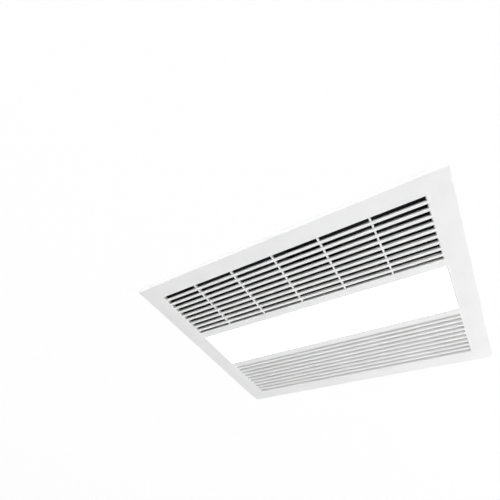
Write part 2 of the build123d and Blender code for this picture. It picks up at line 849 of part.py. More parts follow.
# Drum of the cross-flow blower
drum_left = blower_left + sheet + drum_end_gap
drum_right = blower_right - drum_end_gap
drum_middle = (drum_left + drum_right - drum_disc) / 2
section_length = drum_middle - drum_left - drum_disc
drum_blade = blade_section(
    drum_inner_radius,
    drum_radius - drum_blade_thickness,
    drum_blade_sweep,
    drum_blade_hollow,
    drum_blade_thickness,
)
with BuildPart() as drum:
    for place in (drum_left, drum_middle, drum_right - drum_disc):
        with BuildSketch(Plane.YZ.offset(place)):
            with Locations((blower_y, blower_z)):
                Circle(drum_radius)
        extrude(amount=drum_disc)
    for place in (drum_left + drum_disc, drum_middle + drum_disc):
        with BuildSketch(Plane.YZ.offset(place)):
            with Locations((blower_y, blower_z)):
                with PolarLocations(0, drum_blades):
                    add(drum_blade)
        extrude(amount=section_length)
    with BuildSketch(Plane.YZ.offset(drum_left + drum_disc)):
        with Locations((blower_y, blower_z)):
            Circle(drum_hub_radius)
    extrude(amount=drum_hub_length)
    with BuildSketch(Plane.YZ.offset(drum_left)):
        with Locations((blower_y, blower_z)):
            Circle(drum_shaft_radius)
    extrude(amount=drum_hub_length, mode=Mode.SUBTRACT)
    with BuildSketch(Plane.YZ.offset(drum_right)):
        with Locations((blower_y, blower_z)):
            Circle(drum_shaft_radius)
    extrude(amount=drum_end_gap + sheet + bearing_depth - 1)
save(drum, "drum")

# Rubber-cushioned bearing block for the drum's free end, on the right-hand end plate
with BuildPart() as drum_bearing:
    with BuildSketch(Plane.YZ.offset(blower_right + sheet)):
        with Locations((blower_y, blower_z)):
            Rectangle(2 * bearing_half, 2 * bearing_half)
    extrude(amount=bearing_depth)
    with BuildSketch(Plane.YZ.offset(blower_right + sheet)):
        with Locations((blower_y, blower_z)):
            Circle(drum_shaft_radius + shaft_clearance)
    extrude(amount=bearing_depth, mode=Mode.SUBTRACT)
save(drum_bearing, "drum_bearing")

# Blower motor: laminated core with a coil on its upper limb and two bearing bridges
core_right = core_left + core_thickness
window_high = blower_z + core_high - limb
window_low = blower_z + rotor_bore + 5
with BuildPart() as motor_core:
    with BuildSketch(Plane.YZ.offset(core_left)):
        with Locations((blower_y, blower_z + (core_high - core_low) / 2)):
            Rectangle(core_width, core_high + core_low)
        with Locations((blower_y, blower_z)):
            Circle(rotor_bore, mode=Mode.SUBTRACT)
        with Locations((blower_y, (window_high + window_low) / 2)):
            Rectangle(core_width - 2 * limb, window_high - window_low, mode=Mode.SUBTRACT)
    extrude(amount=core_thickness)
save(motor_core, "motor_core")

with BuildPart() as motor_coil:
    with BuildSketch(Plane.XZ.offset(-blower_y)):
        with Locations(((core_left + core_right) / 2, window_high + limb / 2)):
            Rectangle(core_thickness + 2 * coil_wall, limb + 2 * coil_wall)
            Rectangle(core_thickness + 2 * inner_fit, limb + 2 * inner_fit, mode=Mode.SUBTRACT)
    extrude(amount=core_width / 2 - limb - 1, both=True)
save(motor_coil, "motor_coil")

with BuildPart() as motor_bridges:
    for place, step in ((core_left, -1), (core_right, 1)):
        with BuildSketch(Plane.YZ.offset(place)):
            for end in (-1, 1):
                with Locations((blower_y + end * (core_width / 2 - bridge_inset), blower_z)):
                    Rectangle(bridge_post, bridge_width)
        extrude(amount=step * bridge_height)
        with BuildSketch(Plane.YZ.offset(place + step * (bridge_height - bridge_thickness))):
            with Locations((blower_y, blower_z)):
                Rectangle(core_width - bridge_thickness, bridge_width)
                Circle(drum_shaft_radius + shaft_clearance, mode=Mode.SUBTRACT)
        extrude(amount=step * bridge_thickness)
    # Spacers to the end plate
    for end in (-1, 1):
        with BuildSketch(Plane.YZ.offset(core_right)):
            with Locations((blower_y + end * (core_width / 2 - bridge_inset), blower_z + spacer_rise)):
                Rectangle(spacer_width, spacer_width)
        extrude(amount=blower_left - core_right)
save(motor_bridges, "motor_bridges")

# Shaft of the blower motor, pressed into the drum
with BuildPart() as drum_shaft:
    with BuildSketch(Plane.YZ.offset(core_left - bridge_height - 3)):
        with Locations((blower_y, blower_z)):
            Circle(drum_shaft_radius)
    extrude(amount=drum_left + drum_hub_length - 1 - (core_left - bridge_height - 3))
    with BuildSketch(Plane.YZ.offset(core_left)):
        with Locations((blower_y, blower_z)):
            RegularPolygon(rotor_bore - 1, 12)
    extrude(amount=core_thickness)
save(drum_shaft, "drum_shaft")

# Heating element: a frame, ceramic heater bars and folded fins between them
element_left = plate_inner_left
element_right = plate_inner_right
pack_left = element_left + element_end
pack_right = element_right - element_end
pack_near = element_near + element_rail
pack_far = element_far - element_rail
row_width = (pack_far - pack_near - bar_count * bar_width) / (bar_count - 1)
with BuildPart() as element_frame:
    with BuildSketch(Plane.XY.offset(element_low)):
        with Locations(((element_left + element_right) / 2, (element_near + element_far) / 2)):
            Rectangle(element_right - element_left, element_far - element_near)
        with Locations(((pack_left + pack_right) / 2, (pack_near + pack_far) / 2)):
            Rectangle(pack_right - pack_left, pack_far - pack_near, mode=Mode.SUBTRACT)
    extrude(amount=element_height)
save(element_frame, "element_frame")

with BuildPart() as heater_bars:
    with BuildSketch(Plane.XY.offset(element_low)):
        for bar in range(bar_count):
            bar_y = pack_near + bar_width / 2 + bar * (bar_width + row_width)
            with Locations(((pack_left + pack_right) / 2, bar_y)):
                Rectangle(pack_right - pack_left, bar_width)
    extrude(amount=element_height)
save(heater_bars, "heater_bars")

fin_folds = int((pack_right - pack_left - 2 * inner_fit) / (fin_pitch / 2))
fin_rise = fin_thickness * ((row_width / (fin_pitch / 2)) ** 2 + 1) ** 0.5
with BuildPart() as heater_fins:
    with BuildSketch(Plane.XY.offset(element_low + 1)):
        for row in range(bar_count - 1):
            near = pack_near + bar_width + row * (bar_width + row_width)
            crests = [
                (pack_left + inner_fit + fold * fin_pitch / 2, near + (fold % 2) * (row_width - fin_rise))
                for fold in range(fin_folds + 1)
            ]
            back = [(x, y + fin_rise) for x, y in reversed(crests)]
            with BuildLine():
                Polyline(*crests, *back, close=True)
            make_face()
    extrude(amount=element_height - 2)
save(heater_fins, "heater_fins")

# Thermal cut-out on the right-hand end plate
with BuildPart() as thermal_cutout:
    with BuildSketch(Plane.YZ.offset(blower_right + sheet)):
        with Locations((cutout_y, cutout_z)):
            Rectangle(3.4 * cutout_radius, cutout_radius)
    extrude(amount=sheet)
    with BuildSketch(Plane.YZ.offset(blower_right + 2 * sheet)):
        with Locations((cutout_y, cutout_z)):
            Circle(cutout_radius)
    extrude(amount=cutout_height)
    with BuildSketch(Plane.YZ.offset(blower_right + 2 * sheet + cutout_height)):
        with Locations((cutout_y, cutout_z)):
            with GridLocations(0, cutout_radius, 1, 2):
                Rectangle(spade_width, spade_thickness)
    extrude(amount=spade_length)
save(thermal_cutout, "thermal_cutout")

# Wiring compartment on the deck, open towards the wall with the cable inlet
box_wall_x = -inner_x + inner_fit
with BuildPart() as terminal_box:
    with BuildSketch(Plane.XY.offset(deck_top)):
        with Locations((box_wall_x + box_length / 2, box_y)):
            Rectangle(box_length, box_width)
    extrude(amount=box_height)
    with BuildSketch(Plane.XY.offset(deck_top + sheet)):
        with Locations((box_wall_x + (box_length - sheet) / 2, box_y)):
            Rectangle(box_length - sheet, box_width - 2 * sheet)
    extrude(amount=box_height, mode=Mode.SUBTRACT)
save(terminal_box, "terminal_box")

with BuildPart() as terminal_cover:
    with BuildSketch(Plane.XY.offset(deck_top + box_height)):
        with Locations((box_wall_x + box_length / 2, box_y)):
            Rectangle(box_length, box_width)
    extrude(amount=sheet)
    with BuildSketch(Plane.XY.offset(deck_top + box_height - cover_lip)):
        with Locations((box_wall_x + box_length + sheet / 2, box_y)):
            Rectangle(sheet, box_width)
    extrude(amount=cover_lip + sheet)
save(terminal_cover, "terminal_cover")

block_x = box_wall_x + block_place
with BuildPart() as terminal_block:
    with BuildSketch(Plane.XY.offset(deck_top + sheet)):
        with Locations((block_x, box_y)):
            Rectangle(block_width, block_length)
    extrude(amount=block_height * 0.6)
    with BuildSketch(Plane.XY.offset(deck_top + sheet)):
        with Locations((block_x, box_y)):
            with GridLocations(0, block_length / pole_count, 1, pole_count):
                Rectangle(block_width * 0.6, block_length / pole_count - 2)
    extrude(amount=block_height)
save(terminal_block, "terminal_block")

# Compression gland of the cable inlet
wall_outside = -housing_length / 2
with BuildPart() as cable_gland:
    with BuildSketch(Plane.YZ.offset(wall_outside + sheet + 4)):
        with Locations((box_y, gland_z)):
            Circle(gland_body - inner_fit)
    extrude(amount=-gland_length + 4)
    with BuildSketch(Plane.YZ.offset(wall_outside)):
        with Locations((box_y, gland_z)):
            RegularPolygon(gland_body + 3, 6)
    extrude(amount=-5)
    with BuildSketch(Plane.YZ.offset(wall_outside + sheet + 4)):
        with Locations((box_y, gland_z)):
            Circle(gland_bore)
    extrude(amount=-gland_length, mode=Mode.SUBTRACT)
save(cable_gland, "cable_gland")

# Run capacitor and light driver on the deck
capacitor_x = box_wall_x + box_length + capacitor_gap + capacitor_length / 2
driver_x = driver_end + driver_length / 2 - housing_length / 2
driver_y = tray_width / 2 - sheet - driver_gap - driver_width / 2
with BuildPart() as run_capacitor:
    with BuildSketch(Plane.XY.offset(deck_top)):
        with Locations((capacitor_x, capacitor_y)):
            Rectangle(capacitor_length, capacitor_width)
    extrude(amount=capacitor_height)
save(run_capacitor, "run_capacitor")

with BuildPart() as led_driver:
    with BuildSketch(Plane.XY.offset(deck_top)):
        with Locations((driver_x, driver_y)):
            Rectangle(driver_length, driver_width)
    extrude(amount=driver_height)
    chamfer(led_driver.faces().sort_by(Axis.Z)[-1].edges(), 2)
    with BuildSketch(Plane.XY.offset(deck_top)):
        with Locations((driver_x, driver_y)):
            with GridLocations(driver_length + driver_lug, 0, 2, 1):
                Rectangle(driver_lug, driver_lug + 2)
    extrude(amount=2)
save(led_driver, "led_driver")


def sheet_screw(base):
    """Hexagon head of a sheet screw, standing on the plane."""
    with BuildPart(mode=Mode.PRIVATE) as screw:
        with BuildSketch(base):
            RegularPolygon(screw_head, 6)
        extrude(amount=screw_head_height)
    return screw.part


lid_screw_z = housing_height - lid_rim / 2 + 0.3
lid_screw_x = housing_length / 2 - screw_inset_x
lid_screw_y = housing_width / 2 - screw_inset_y
lid_planes = []
for end in (-1, 1):
    for place in (-lid_screw_y, lid_screw_y):
        lid_planes.append(Plane(origin=(end * lid_length / 2, place, lid_screw_z), z_dir=(end, 0, 0)))
    for place in (-lid_screw_x, lid_screw_x):
        lid_planes.append(Plane(origin=(place, end * lid_width / 2, lid_screw_z), z_dir=(0, end, 0)))
lid_heads = [sheet_screw(base) for base in lid_planes]
with BuildPart() as lid_screws:
    add(lid_heads)
save(lid_screws, "lid_screws")

volute_heads = [
    sheet_screw(Plane(origin=(foot_x, foot_y, deck_top + foot_thickness), z_dir=(0, 0, 1)))
    for foot_x, foot_y in volute_feet
]
with BuildPart() as volute_screws:
    add(volute_heads)
save(volute_screws, "volute_screws")

spigot_corner = spigot_plate / 2 - screw_head - 1
spigot_corners = [
    (spigot_start, spigot_y + a * spigot_corner, spigot_z + b * spigot_corner)
    for a in (-1, 1)
    for b in (-1, 1)
]
spigot_heads = [sheet_screw(Plane(origin=corner, z_dir=(1, 0, 0))) for corner in spigot_corners]
with BuildPart() as spigot_screws:
    add(spigot_heads)
save(spigot_screws, "spigot_screws")
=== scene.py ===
import math

import bmesh
import bpy
from mathutils import Matrix, Vector
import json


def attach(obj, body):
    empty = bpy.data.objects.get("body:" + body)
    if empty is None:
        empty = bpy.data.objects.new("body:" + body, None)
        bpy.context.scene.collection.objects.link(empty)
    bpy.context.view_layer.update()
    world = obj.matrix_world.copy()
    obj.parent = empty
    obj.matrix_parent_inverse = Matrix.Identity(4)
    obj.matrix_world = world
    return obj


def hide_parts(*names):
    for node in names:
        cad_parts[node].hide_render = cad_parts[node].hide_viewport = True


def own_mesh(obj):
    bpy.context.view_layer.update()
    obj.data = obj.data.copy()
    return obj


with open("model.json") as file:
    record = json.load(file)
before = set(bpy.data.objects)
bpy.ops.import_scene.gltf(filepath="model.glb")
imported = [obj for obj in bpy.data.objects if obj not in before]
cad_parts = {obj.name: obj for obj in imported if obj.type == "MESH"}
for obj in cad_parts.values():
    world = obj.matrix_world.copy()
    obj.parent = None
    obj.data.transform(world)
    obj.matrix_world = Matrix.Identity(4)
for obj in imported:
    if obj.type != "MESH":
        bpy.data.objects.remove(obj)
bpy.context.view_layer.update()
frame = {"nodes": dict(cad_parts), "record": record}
nodes = frame["nodes"]
mm = 0.001

# Sizes of the ceiling unit, in metres, as its solids have them
fascia_length = 420 * mm
fascia_width = 350 * mm
face_z = -6 * mm
back_z = -3.5 * mm
fascia_wall = 2.5 * mm
slot_pitch = 10 * mm
slot_gap = 6.2 * mm
slot_count = 10
slot_length = 366 * mm
rib_count = 5
rib_pitch = 62.3 * mm
slots_near = 54.9 * mm
slots_far = 151.1 * mm
collar_wall = 1.5 * mm
louvre_lean = math.radians(20)
window_length = 368 * mm
window_width = 85 * mm
spring_x = 150 * mm
sheet = 1 * mm
housing_length = 380 * mm
housing_width = 310 * mm
housing_height = 168 * mm

# Finer here than in the solids: the outermost slots are narrower and the ribs are thinner
outer_lip = 0.8 * mm
rib_half = 1.15 * mm

# Corners that lie closer than this are one
merge_reach = 0.002 * mm


def reckoned(tree, operation, first, second=None):
    """Output of a Math node on one output and, where it takes two, on a number or another output."""
    node = tree.nodes.new("ShaderNodeMath")
    node.operation = operation
    tree.links.new(first, node.inputs[0])
    if isinstance(second, float):
        node.inputs[1].default_value = second
    elif second is not None:
        tree.links.new(second, node.inputs[1])
    return node.outputs[0]


# Finishes
class Finish:
    """A material in the making: its node tree, its shader and the place on the piece."""

    def __init__(self, name):
        self.material = bpy.data.materials.new(name)
        self.material.use_nodes = True
        self.tree = self.material.node_tree
        self.tree.nodes.clear()
        output = self.tree.nodes.new("ShaderNodeOutputMaterial")
        self.shader = self.tree.nodes.new("ShaderNodeBsdfPrincipled")
        self.join(self.shader.outputs["BSDF"], output.inputs["Surface"])
        self.place = self.tree.nodes.new("ShaderNodeTexCoord").outputs["Object"]

    def join(self, output, socket):
        """Links an output to a socket."""
        self.tree.links.new(output, socket)

    def stretched(self, x, y, z):
        """The place, drawn out so that a pattern runs along one way."""
        mapping = self.tree.nodes.new("ShaderNodeMapping")
        mapping.inputs["Scale"].default_value = (x, y, z)
        self.join(self.place, mapping.inputs["Vector"])
        return mapping.outputs["Vector"]

    def across(self):
        """The place as three numbers, by the names X, Y and Z."""
        parts = self.tree.nodes.new("ShaderNodeSeparateXYZ")
        self.join(self.place, parts.inputs["Vector"])
        return parts.outputs

    def noise(self, scale, detail=3.0, place=None):
        """A soft random pattern, at the place or at a drawn-out one."""
        node = self.tree.nodes.new("ShaderNodeTexNoise")
        node.inputs["Scale"].default_value = scale
        node.inputs["Detail"].default_value = detail
        self.join(place or self.place, node.inputs["Vector"])
        return node.outputs["Fac"]

    def spangle(self, scale):
        """Crystals of the zinc coat: a grey for each, and how far a point is from its crystal's middle."""
        node = self.tree.nodes.new("ShaderNodeTexVoronoi")
        node.inputs["Scale"].default_value = scale
        node.inputs["Randomness"].default_value = 1.0
        self.join(self.place, node.inputs["Vector"])
        parts = self.tree.nodes.new("ShaderNodeSeparateColor")
        self.join(node.outputs["Color"], parts.inputs["Color"])
        return parts.outputs["Red"], node.outputs["Distance"]

    def waves(self, scale, axis, distortion):
        """Even bands along an axis, a little uneven by the distortion."""
        node = self.tree.nodes.new("ShaderNodeTexWave")
        node.bands_direction = axis
        node.inputs["Scale"].default_value = scale
        node.inputs["Distortion"].default_value = distortion
        self.join(self.place, node.inputs["Vector"])
        return node.outputs["Fac"]

    def between(self, factor, low, high, from_low=0.3, from_high=0.7):
        """A number that goes from low to high while the factor goes through its own range."""
        node = self.tree.nodes.new("ShaderNodeMapRange")
        node.inputs["From Min"].default_value = from_low
        node.inputs["From Max"].default_value = from_high
        node.inputs["To Min"].default_value = low
        node.inputs["To Max"].default_value = high
        self.join(factor, node.inputs["Value"])
        return node.outputs["Result"]

    def blend(self, factor, first, second):
        """A colour between two, by the factor; each is a colour or an output."""
        node = self.tree.nodes.new("ShaderNodeMix")
        node.data_type = "RGBA"
        self.join(factor, node.inputs["Factor"])
        for colour, socket in ((first, node.inputs[6]), (second, node.inputs[7])):
            if isinstance(colour, tuple):
                socket.default_value = (*colour, 1.0)
            else:
                self.join(colour, socket)
        return node.outputs[2]

    def relief(self, height, distance, strength, normal=None):
        """A fine relief from a height, over another relief where one is given."""
        node = self.tree.nodes.new("ShaderNodeBump")
        node.inputs["Strength"].default_value = strength
        node.inputs["Distance"].default_value = distance
        self.join(height, node.inputs["Height"])
        if normal is not None:
            self.join(normal, node.inputs["Normal"])
        return node.outputs["Normal"]

    def colour(self, output):
        """Gives the shader its colour."""
        self.join(output, self.shader.inputs["Base Color"])

    def rough(self, output):
        """Gives the shader its roughness."""
        self.join(output, self.shader.inputs["Roughness"])

    def bumped(self, output):
        """Gives the shader its relief."""
        self.join(output, self.shader.inputs["Normal"])


# Colours that several finishes share, and the size of the zinc crystals
zinc_dark = (0.34, 0.35, 0.362)
zinc_bright = (0.44, 0.452, 0.466)
# Near-black for the painted shade inside the extract side's air chamber
chamber_shade_dark = (0.012, 0.012, 0.013)
chamber_shade_light = (0.02, 0.02, 0.021)
crystal_scale = 170.0


def moulded_plastic(name, colour, shade, roughness, grain=2600.0, depth=0.04 * mm):
    """Injection-moulded plastic: faint flow of colour, a fine spark-eroded grain and worn gloss."""
    finish = Finish(name)
    flow = finish.noise(22.0, detail=2.0)
    finish.colour(finish.blend(finish.between(flow, 0.0, 1.0), colour, shade))
    skin = finish.noise(grain, detail=2.0)
    haze = finish.noise(90.0, detail=4.0)
    finish.rough(finish.between(haze, roughness - 0.05, roughness + 0.06))
    finish.bumped(finish.relief(skin, depth, strength=0.6))
    return finish.material


def zinc_crystals(finish, crystal):
    """The zinc coat's colour, crystal by crystal."""
    return finish.blend(finish.between(crystal, 0.0, 1.0, 0.0, 1.0), zinc_dark, zinc_bright)


def galvanised_sheet(name):
    """Zinc-coated sheet: spangle, mill streaks and dull patches."""
    finish = Finish(name)
    crystal, edge = finish.spangle(crystal_scale)
    streak = finish.noise(60.0, detail=4.0, place=finish.stretched(0.15, 1.0, 1.0))
    patch = finish.noise(9.0, detail=3.0)
    duller = tuple(0.82 * value for value in zinc_dark)
    base = zinc_crystals(finish, crystal)
    base = finish.blend(finish.between(patch, 0.0, 0.35, 0.45, 0.75), base, duller)
    finish.colour(finish.blend(finish.between(streak, 0.0, 0.25, 0.5, 0.8), base, zinc_bright))
    finish.rough(finish.between(crystal, 0.46, 0.62, 0.0, 1.0))
    crystals = finish.relief(edge, 0.04 * mm, strength=0.3)
    finish.bumped(finish.relief(streak, 0.03 * mm, strength=0.4, normal=crystals))
    finish.shader.inputs["Metallic"].default_value = 0.6
    return finish.material


def painted_shade_inside(name, low, high):
    """Zinc-coated sheet with painted shade: matt black on the faces inside a box, which darkens the air
    chamber seen through the slots.
    """
    finish = Finish(name)
    crystal, edge = finish.spangle(crystal_scale)
    across = finish.across()
    # Mask of the faces inside the box, where shade is painted
    shade_mask = None
    for axis, least, most in zip("XYZ", low, high):
        for test, bound in (("GREATER_THAN", least), ("LESS_THAN", most)):
            within = reckoned(finish.tree, test, across[axis], bound)
            if shade_mask is None:
                shade_mask = within
            else:
                shade_mask = reckoned(finish.tree, "MULTIPLY", shade_mask, within)
    mottle = finish.noise(45.0, detail=3.0)
    # Painted shade: near-black where the face lies inside the box, zinc elsewhere
    shade_colour = finish.blend(finish.between(mottle, 0.0, 1.0), chamber_shade_dark, chamber_shade_light)
    finish.colour(finish.blend(shade_mask, zinc_crystals(finish, crystal), shade_colour))
    finish.join(finish.between(shade_mask, 0.6, 0.0, 0.0, 1.0), finish.shader.inputs["Metallic"])
    finish.rough(finish.between(shade_mask, 0.55, 0.8, 0.0, 1.0))
    finish.bumped(finish.relief(edge, 0.06 * mm, strength=0.3))
    return finish.material


def drawn_metal(name, colour, shade, roughness, metallic=1.0, along=(1.0, 1.0, 0.1)):
    """Drawn, turned or plated metal with fine lines along its working direction."""
    finish = Finish(name)
    lines = finish.noise(900.0, detail=3.0, place=finish.stretched(*along))
    tint = finish.noise(70.0, detail=3.0)
    finish.colour(finish.blend(finish.between(tint, 0.0, 1.0), colour, shade))
    finish.rough(finish.between(lines, roughness - 0.08, roughness + 0.1))
    finish.bumped(finish.relief(lines, 0.03 * mm, strength=0.5))
    finish.shader.inputs["Metallic"].default_value = metallic
    return finish.material


def opal_diffuser(name, half_length, half_width, rim):
    """Lit opal sheet: white light, with a faint cast of the light boards, that fades at the sheet's rim."""
    finish = Finish(name)
    cast = finish.noise(7.0, detail=1.0)
    skin = finish.noise(1800.0, detail=2.0)
    finish.colour(finish.blend(finish.between(cast, 0.0, 1.0), (0.9, 0.9, 0.89), (0.86, 0.87, 0.87)))
    glow = finish.blend(finish.between(cast, 0.0, 1.0), (1.0, 1.0, 1.0), (0.97, 0.98, 0.985))
    faded = (0.15, 0.15, 0.15)
    across = finish.across()
    for axis, half in (("X", half_length), ("Y", half_width)):
        reach = reckoned(finish.tree, "ABSOLUTE", across[axis])
        glow = finish.blend(finish.between(reach, 0.0, 1.0, half - rim, half), glow, faded)
    finish.join(glow, finish.shader.inputs["Emission Color"])
    finish.shader.inputs["Emission Strength"].default_value = 0.9
    finish.rough(finish.between(finish.noise(80.0), 0.4, 0.5))
    finish.bumped(finish.relief(skin, 0.03 * mm, strength=0.5))
    return finish.material


def stacked_laminations(name):
    """Edges of thin electrical-steel sheets, with specks of rust."""
    finish = Finish(name)
    sheets = finish.waves(320.0, "X", distortion=0.4)
    rust = finish.noise(160.0, detail=5.0)
    edges = finish.between(sheets, 0.0, 1.0, 0.1, 0.9)
    steel = finish.blend(edges, (0.16, 0.165, 0.17), (0.36, 0.37, 0.38))
    finish.colour(finish.blend(finish.between(rust, 0.0, 0.6, 0.62, 0.75), steel, (0.22, 0.11, 0.06)))
    finish.rough(finish.between(rust, 0.38, 0.6))
    finish.bumped(finish.relief(sheets, 0.1 * mm, strength=0.6))
    finish.shader.inputs["Metallic"].default_value = 0.8
    return finish.material


def wound_copper(name):
    """Layers of enamelled wire laid side by side, with painted shade that darkens the grooves between the
    turns.
    """
    finish = Finish(name)
    wires = finish.waves(260.0, "Y", distortion=0.6)
    varnish = finish.noise(120.0, detail=4.0)
    # Painted shade: darker copper in the grooves between turns, lighter along each turn
    groove_shade = finish.between(wires, 0.0, 1.0, 0.1, 0.9)
    copper = finish.blend(groove_shade, (0.28, 0.09, 0.03), (0.7, 0.3, 0.12))
    finish.colour(finish.blend(finish.between(varnish, 0.0, 0.5, 0.5, 0.8), copper, (0.35, 0.13, 0.04)))
    finish.rough(finish.between(varnish, 0.22, 0.4))
    finish.bumped(finish.relief(wires, 0.25 * mm, strength=0.8))
    finish.shader.inputs["Metallic"].default_value = 0.75
    return finish.material


# The extract side's air chamber, to halfway into the walls round it, and the tray's side that looks into it;
# black is painted there as shade
chamber_low, chamber_high = (-0.1894, -0.1544, -0.002), (0.1894, 0.0445, 0.0535)
tray_side_low, tray_side_high = (-0.2, -0.06, 0.0), (0.2, -0.04465, 0.0425)

fascia_white = moulded_plastic("fascia_white", (0.825, 0.825, 0.825), (0.8, 0.8, 0.8), 0.38)
opal = opal_diffuser("opal", window_length / 2, window_width / 2, 2.5 * mm)
galvanised = galvanised_sheet("galvanised")
# Painted shade: the fan deck, the chamber's walls and the tray's side are black so the chamber looks dark
# through the slots
plenum_painted_shade = moulded_plastic("plenum_painted_shade", chamber_shade_dark, chamber_shade_light, 0.7)
walls_painted_shade = painted_shade_inside("walls_painted_shade", chamber_low, chamber_high)
tray_painted_shade = painted_shade_inside("tray_painted_shade", tray_side_low, tray_side_high)
# Painted shade: near-black steel for the fan's nut and shaft in the air chamber
shade_black_steel = drawn_metal("shade_black_steel", (0.03, 0.03, 0.032), (0.02, 0.02, 0.021), 0.5, metallic=0.6)
spring_steel = drawn_metal("spring_steel", (0.5, 0.5, 0.51), (0.38, 0.38, 0.4), 0.28)
zinc = drawn_metal("zinc", (0.6, 0.61, 0.6), (0.5, 0.52, 0.5), 0.34, metallic=0.95)
black_plastic = moulded_plastic("black_plastic", (0.02, 0.02, 0.022), (0.032, 0.032, 0.034), 0.45)
grey_plastic = moulded_plastic("grey_plastic", (0.2, 0.21, 0.22), (0.16, 0.165, 0.17), 0.48)
white_plastic = moulded_plastic("white_plastic", (0.76, 0.76, 0.73), (0.68, 0.68, 0.64), 0.42)
aluminium = drawn_metal("aluminium", (0.74, 0.75, 0.76), (0.62, 0.63, 0.65), 0.3, along=(0.08, 1.0, 1.0))
board_white = moulded_plastic("board_white", (0.8, 0.81, 0.79), (0.72, 0.74, 0.72), 0.3, grain=5200.0)
copper = wound_copper("copper")
laminations = stacked_laminations("laminations")
frame_resin = moulded_plastic(
    "frame_resin", (0.045, 0.043, 0.04), (0.07, 0.066, 0.06), 0.55, grain=1400.0, depth=0.1 * mm
)

# The finish for each material slot of the solids
finishes = {
    "fascia_white": fascia_white,
    "opal": opal,
    "galvanised": galvanised,
    "spring_steel": spring_steel,
    "zinc": zinc,
    "black_plastic": black_plastic,
    "grey_plastic": grey_plastic,
    "white_plastic": white_plastic,
    "aluminium": aluminium,
    "board_white": board_white,
    "copper": copper,
    "laminations": laminations,
    "frame_resin": frame_resin,
}
slot_of = {part["node"]: part["material_slot"] for part in frame["record"]["subparts"]}
for node, solid in nodes.items():
    own = finishes[slot_of[node]]
    for place in solid.material_slots:
        place.material = own
# Painted shade: the fan deck, nut and shaft in the air chamber are made black
nodes["fan_deck"].material_slots[0].material = plenum_painted_shade
nodes["impeller_nut"].material_slots[0].material = shade_black_steel
nodes["fan_shaft"].material_slots[0].material = shade_black_steel


# Making pieces
def piece_of(name, mesh, finish, body, stands_for=()):
    """A finished piece that rides on a body and may stand for nodes of the frame."""
    piece = bpy.data.objects.new(name, mesh)
    bpy.context.scene.collection.objects.link(piece)
    mesh.materials.clear()
    mesh.materials.append(finish)
    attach(piece, body)
    if stands_for:
        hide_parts(*stands_for)
    return piece


def draft_of(name, data):
    """An object for the time in which its modifiers or its curve are worked out."""
    draft = bpy.data.objects.new(name + "_draft", data)
    bpy.context.scene.collection.objects.link(draft)
    return draft


def settled(draft):
    """The plain mesh of a draft with its modifiers worked out; the draft is removed."""
    graph = bpy.context.evaluated_depsgraph_get()
    mesh = bpy.data.meshes.new_from_object(draft.evaluated_get(graph), depsgraph=graph)
    bpy.data.objects.remove(draft)
    return mesh


def smoothed(mesh, sharp_angle=38):
    """The mesh shaded smooth, but for edges that turn by more than an angle in degrees."""
    mesh.shade_smooth()
    mesh.set_sharp_from_angle(angle=math.radians(sharp_angle))
    return mesh


def softened(mesh, name, width, segments=2):
    """The mesh with its edges rounded to a small radius."""
    draft = draft_of(name, mesh)
    bevel = draft.modifiers.new("edge_radius", "BEVEL")
    bevel.width = width
    bevel.segments = segments
    bevel.limit_method = "ANGLE"
    bevel.angle_limit = math.radians(30)
    bevel.use_clamp_overlap = True
    return smoothed(settled(draft))


def merged_copy(node):
    """A copy of a node's mesh with its corners merged and its flat faces joined."""
    shape = bmesh.new()
    shape.from_mesh(nodes[node].data)
    bmesh.ops.remove_doubles(shape, verts=shape.verts, dist=merge_reach)
    bmesh.ops.dissolve_limit(shape, angle_limit=math.radians(0.6), verts=shape.verts, edges=shape.edges)
    mesh = bpy.data.meshes.new(node + "_soft")
    shape.to_mesh(mesh)
    shape.free()
    return mesh


def rectangle(low, high, bottom, top):
    """The four corners of a rectangle, in order round it."""
    return [(low, bottom), (high, bottom), (high, top), (low, top)]


def solid_bar(shape, section, start, end):
    """Adds a closed bar along X with a section of (y, z) corners."""
    near = [shape.verts.new((start, y, z)) for y, z in section]
    far = [shape.verts.new((end, y, z)) for y, z in section]
    shape.faces.new(near)
    shape.faces.new(list(reversed(far)))
    for index in range(len(section)):
        after = (index + 1) % len(section)
        shape.faces.new((near[index], far[index], far[after], near[after]))


def mesh_of(shape, name):
    """The mesh of a closed shape, with its faces pointing outwards; the shape is freed."""
    bmesh.ops.recalc_face_normals(shape, faces=shape.faces)
    mesh = bpy.data.meshes.new(name)
    shape.to_mesh(mesh)
    shape.free()
    return mesh


def joined(name, meshes):
    """One mesh of several."""
    shape = bmesh.new()
    for mesh in meshes:
        shape.from_mesh(mesh)
    whole = bpy.data.meshes.new(name)
    shape.to_mesh(whole)
    shape.free()
    return whole


def moved(mesh, place, turn=Matrix.Identity(4)):
    """The mesh turned about the origin and taken to a place."""
    mesh.transform(Matrix.Translation(place) @ turn)
    return mesh


# Node trees
def new_tree(name, inputs):
    """A Geometry Nodes tree with named inputs; returns the tree and its input and output nodes."""
    tree = bpy.data.node_groups.new(name, "GeometryNodeTree")
    tree.interface.new_socket("Geometry", in_out="INPUT", socket_type="NodeSocketGeometry")
    for label, kind in inputs:
        tree.interface.new_socket(label, in_out="INPUT", socket_type="NodeSocket" + kind)
    tree.interface.new_socket("Geometry", in_out="OUTPUT", socket_type="NodeSocketGeometry")
    return tree, tree.nodes.new("NodeGroupInput"), tree.nodes.new("NodeGroupOutput")


def finish_tree(tree, given, result, geometry):
    """Ends a tree in Realize Instances and Set Material."""
    real = tree.nodes.new("GeometryNodeRealizeInstances")
    coat = tree.nodes.new("GeometryNodeSetMaterial")
    tree.links.new(geometry, real.inputs["Geometry"])
    tree.links.new(real.outputs["Geometry"], coat.inputs["Geometry"])
    tree.links.new(given.outputs["Finish"], coat.inputs["Material"])
    tree.links.new(coat.outputs["Geometry"], result.inputs["Geometry"])


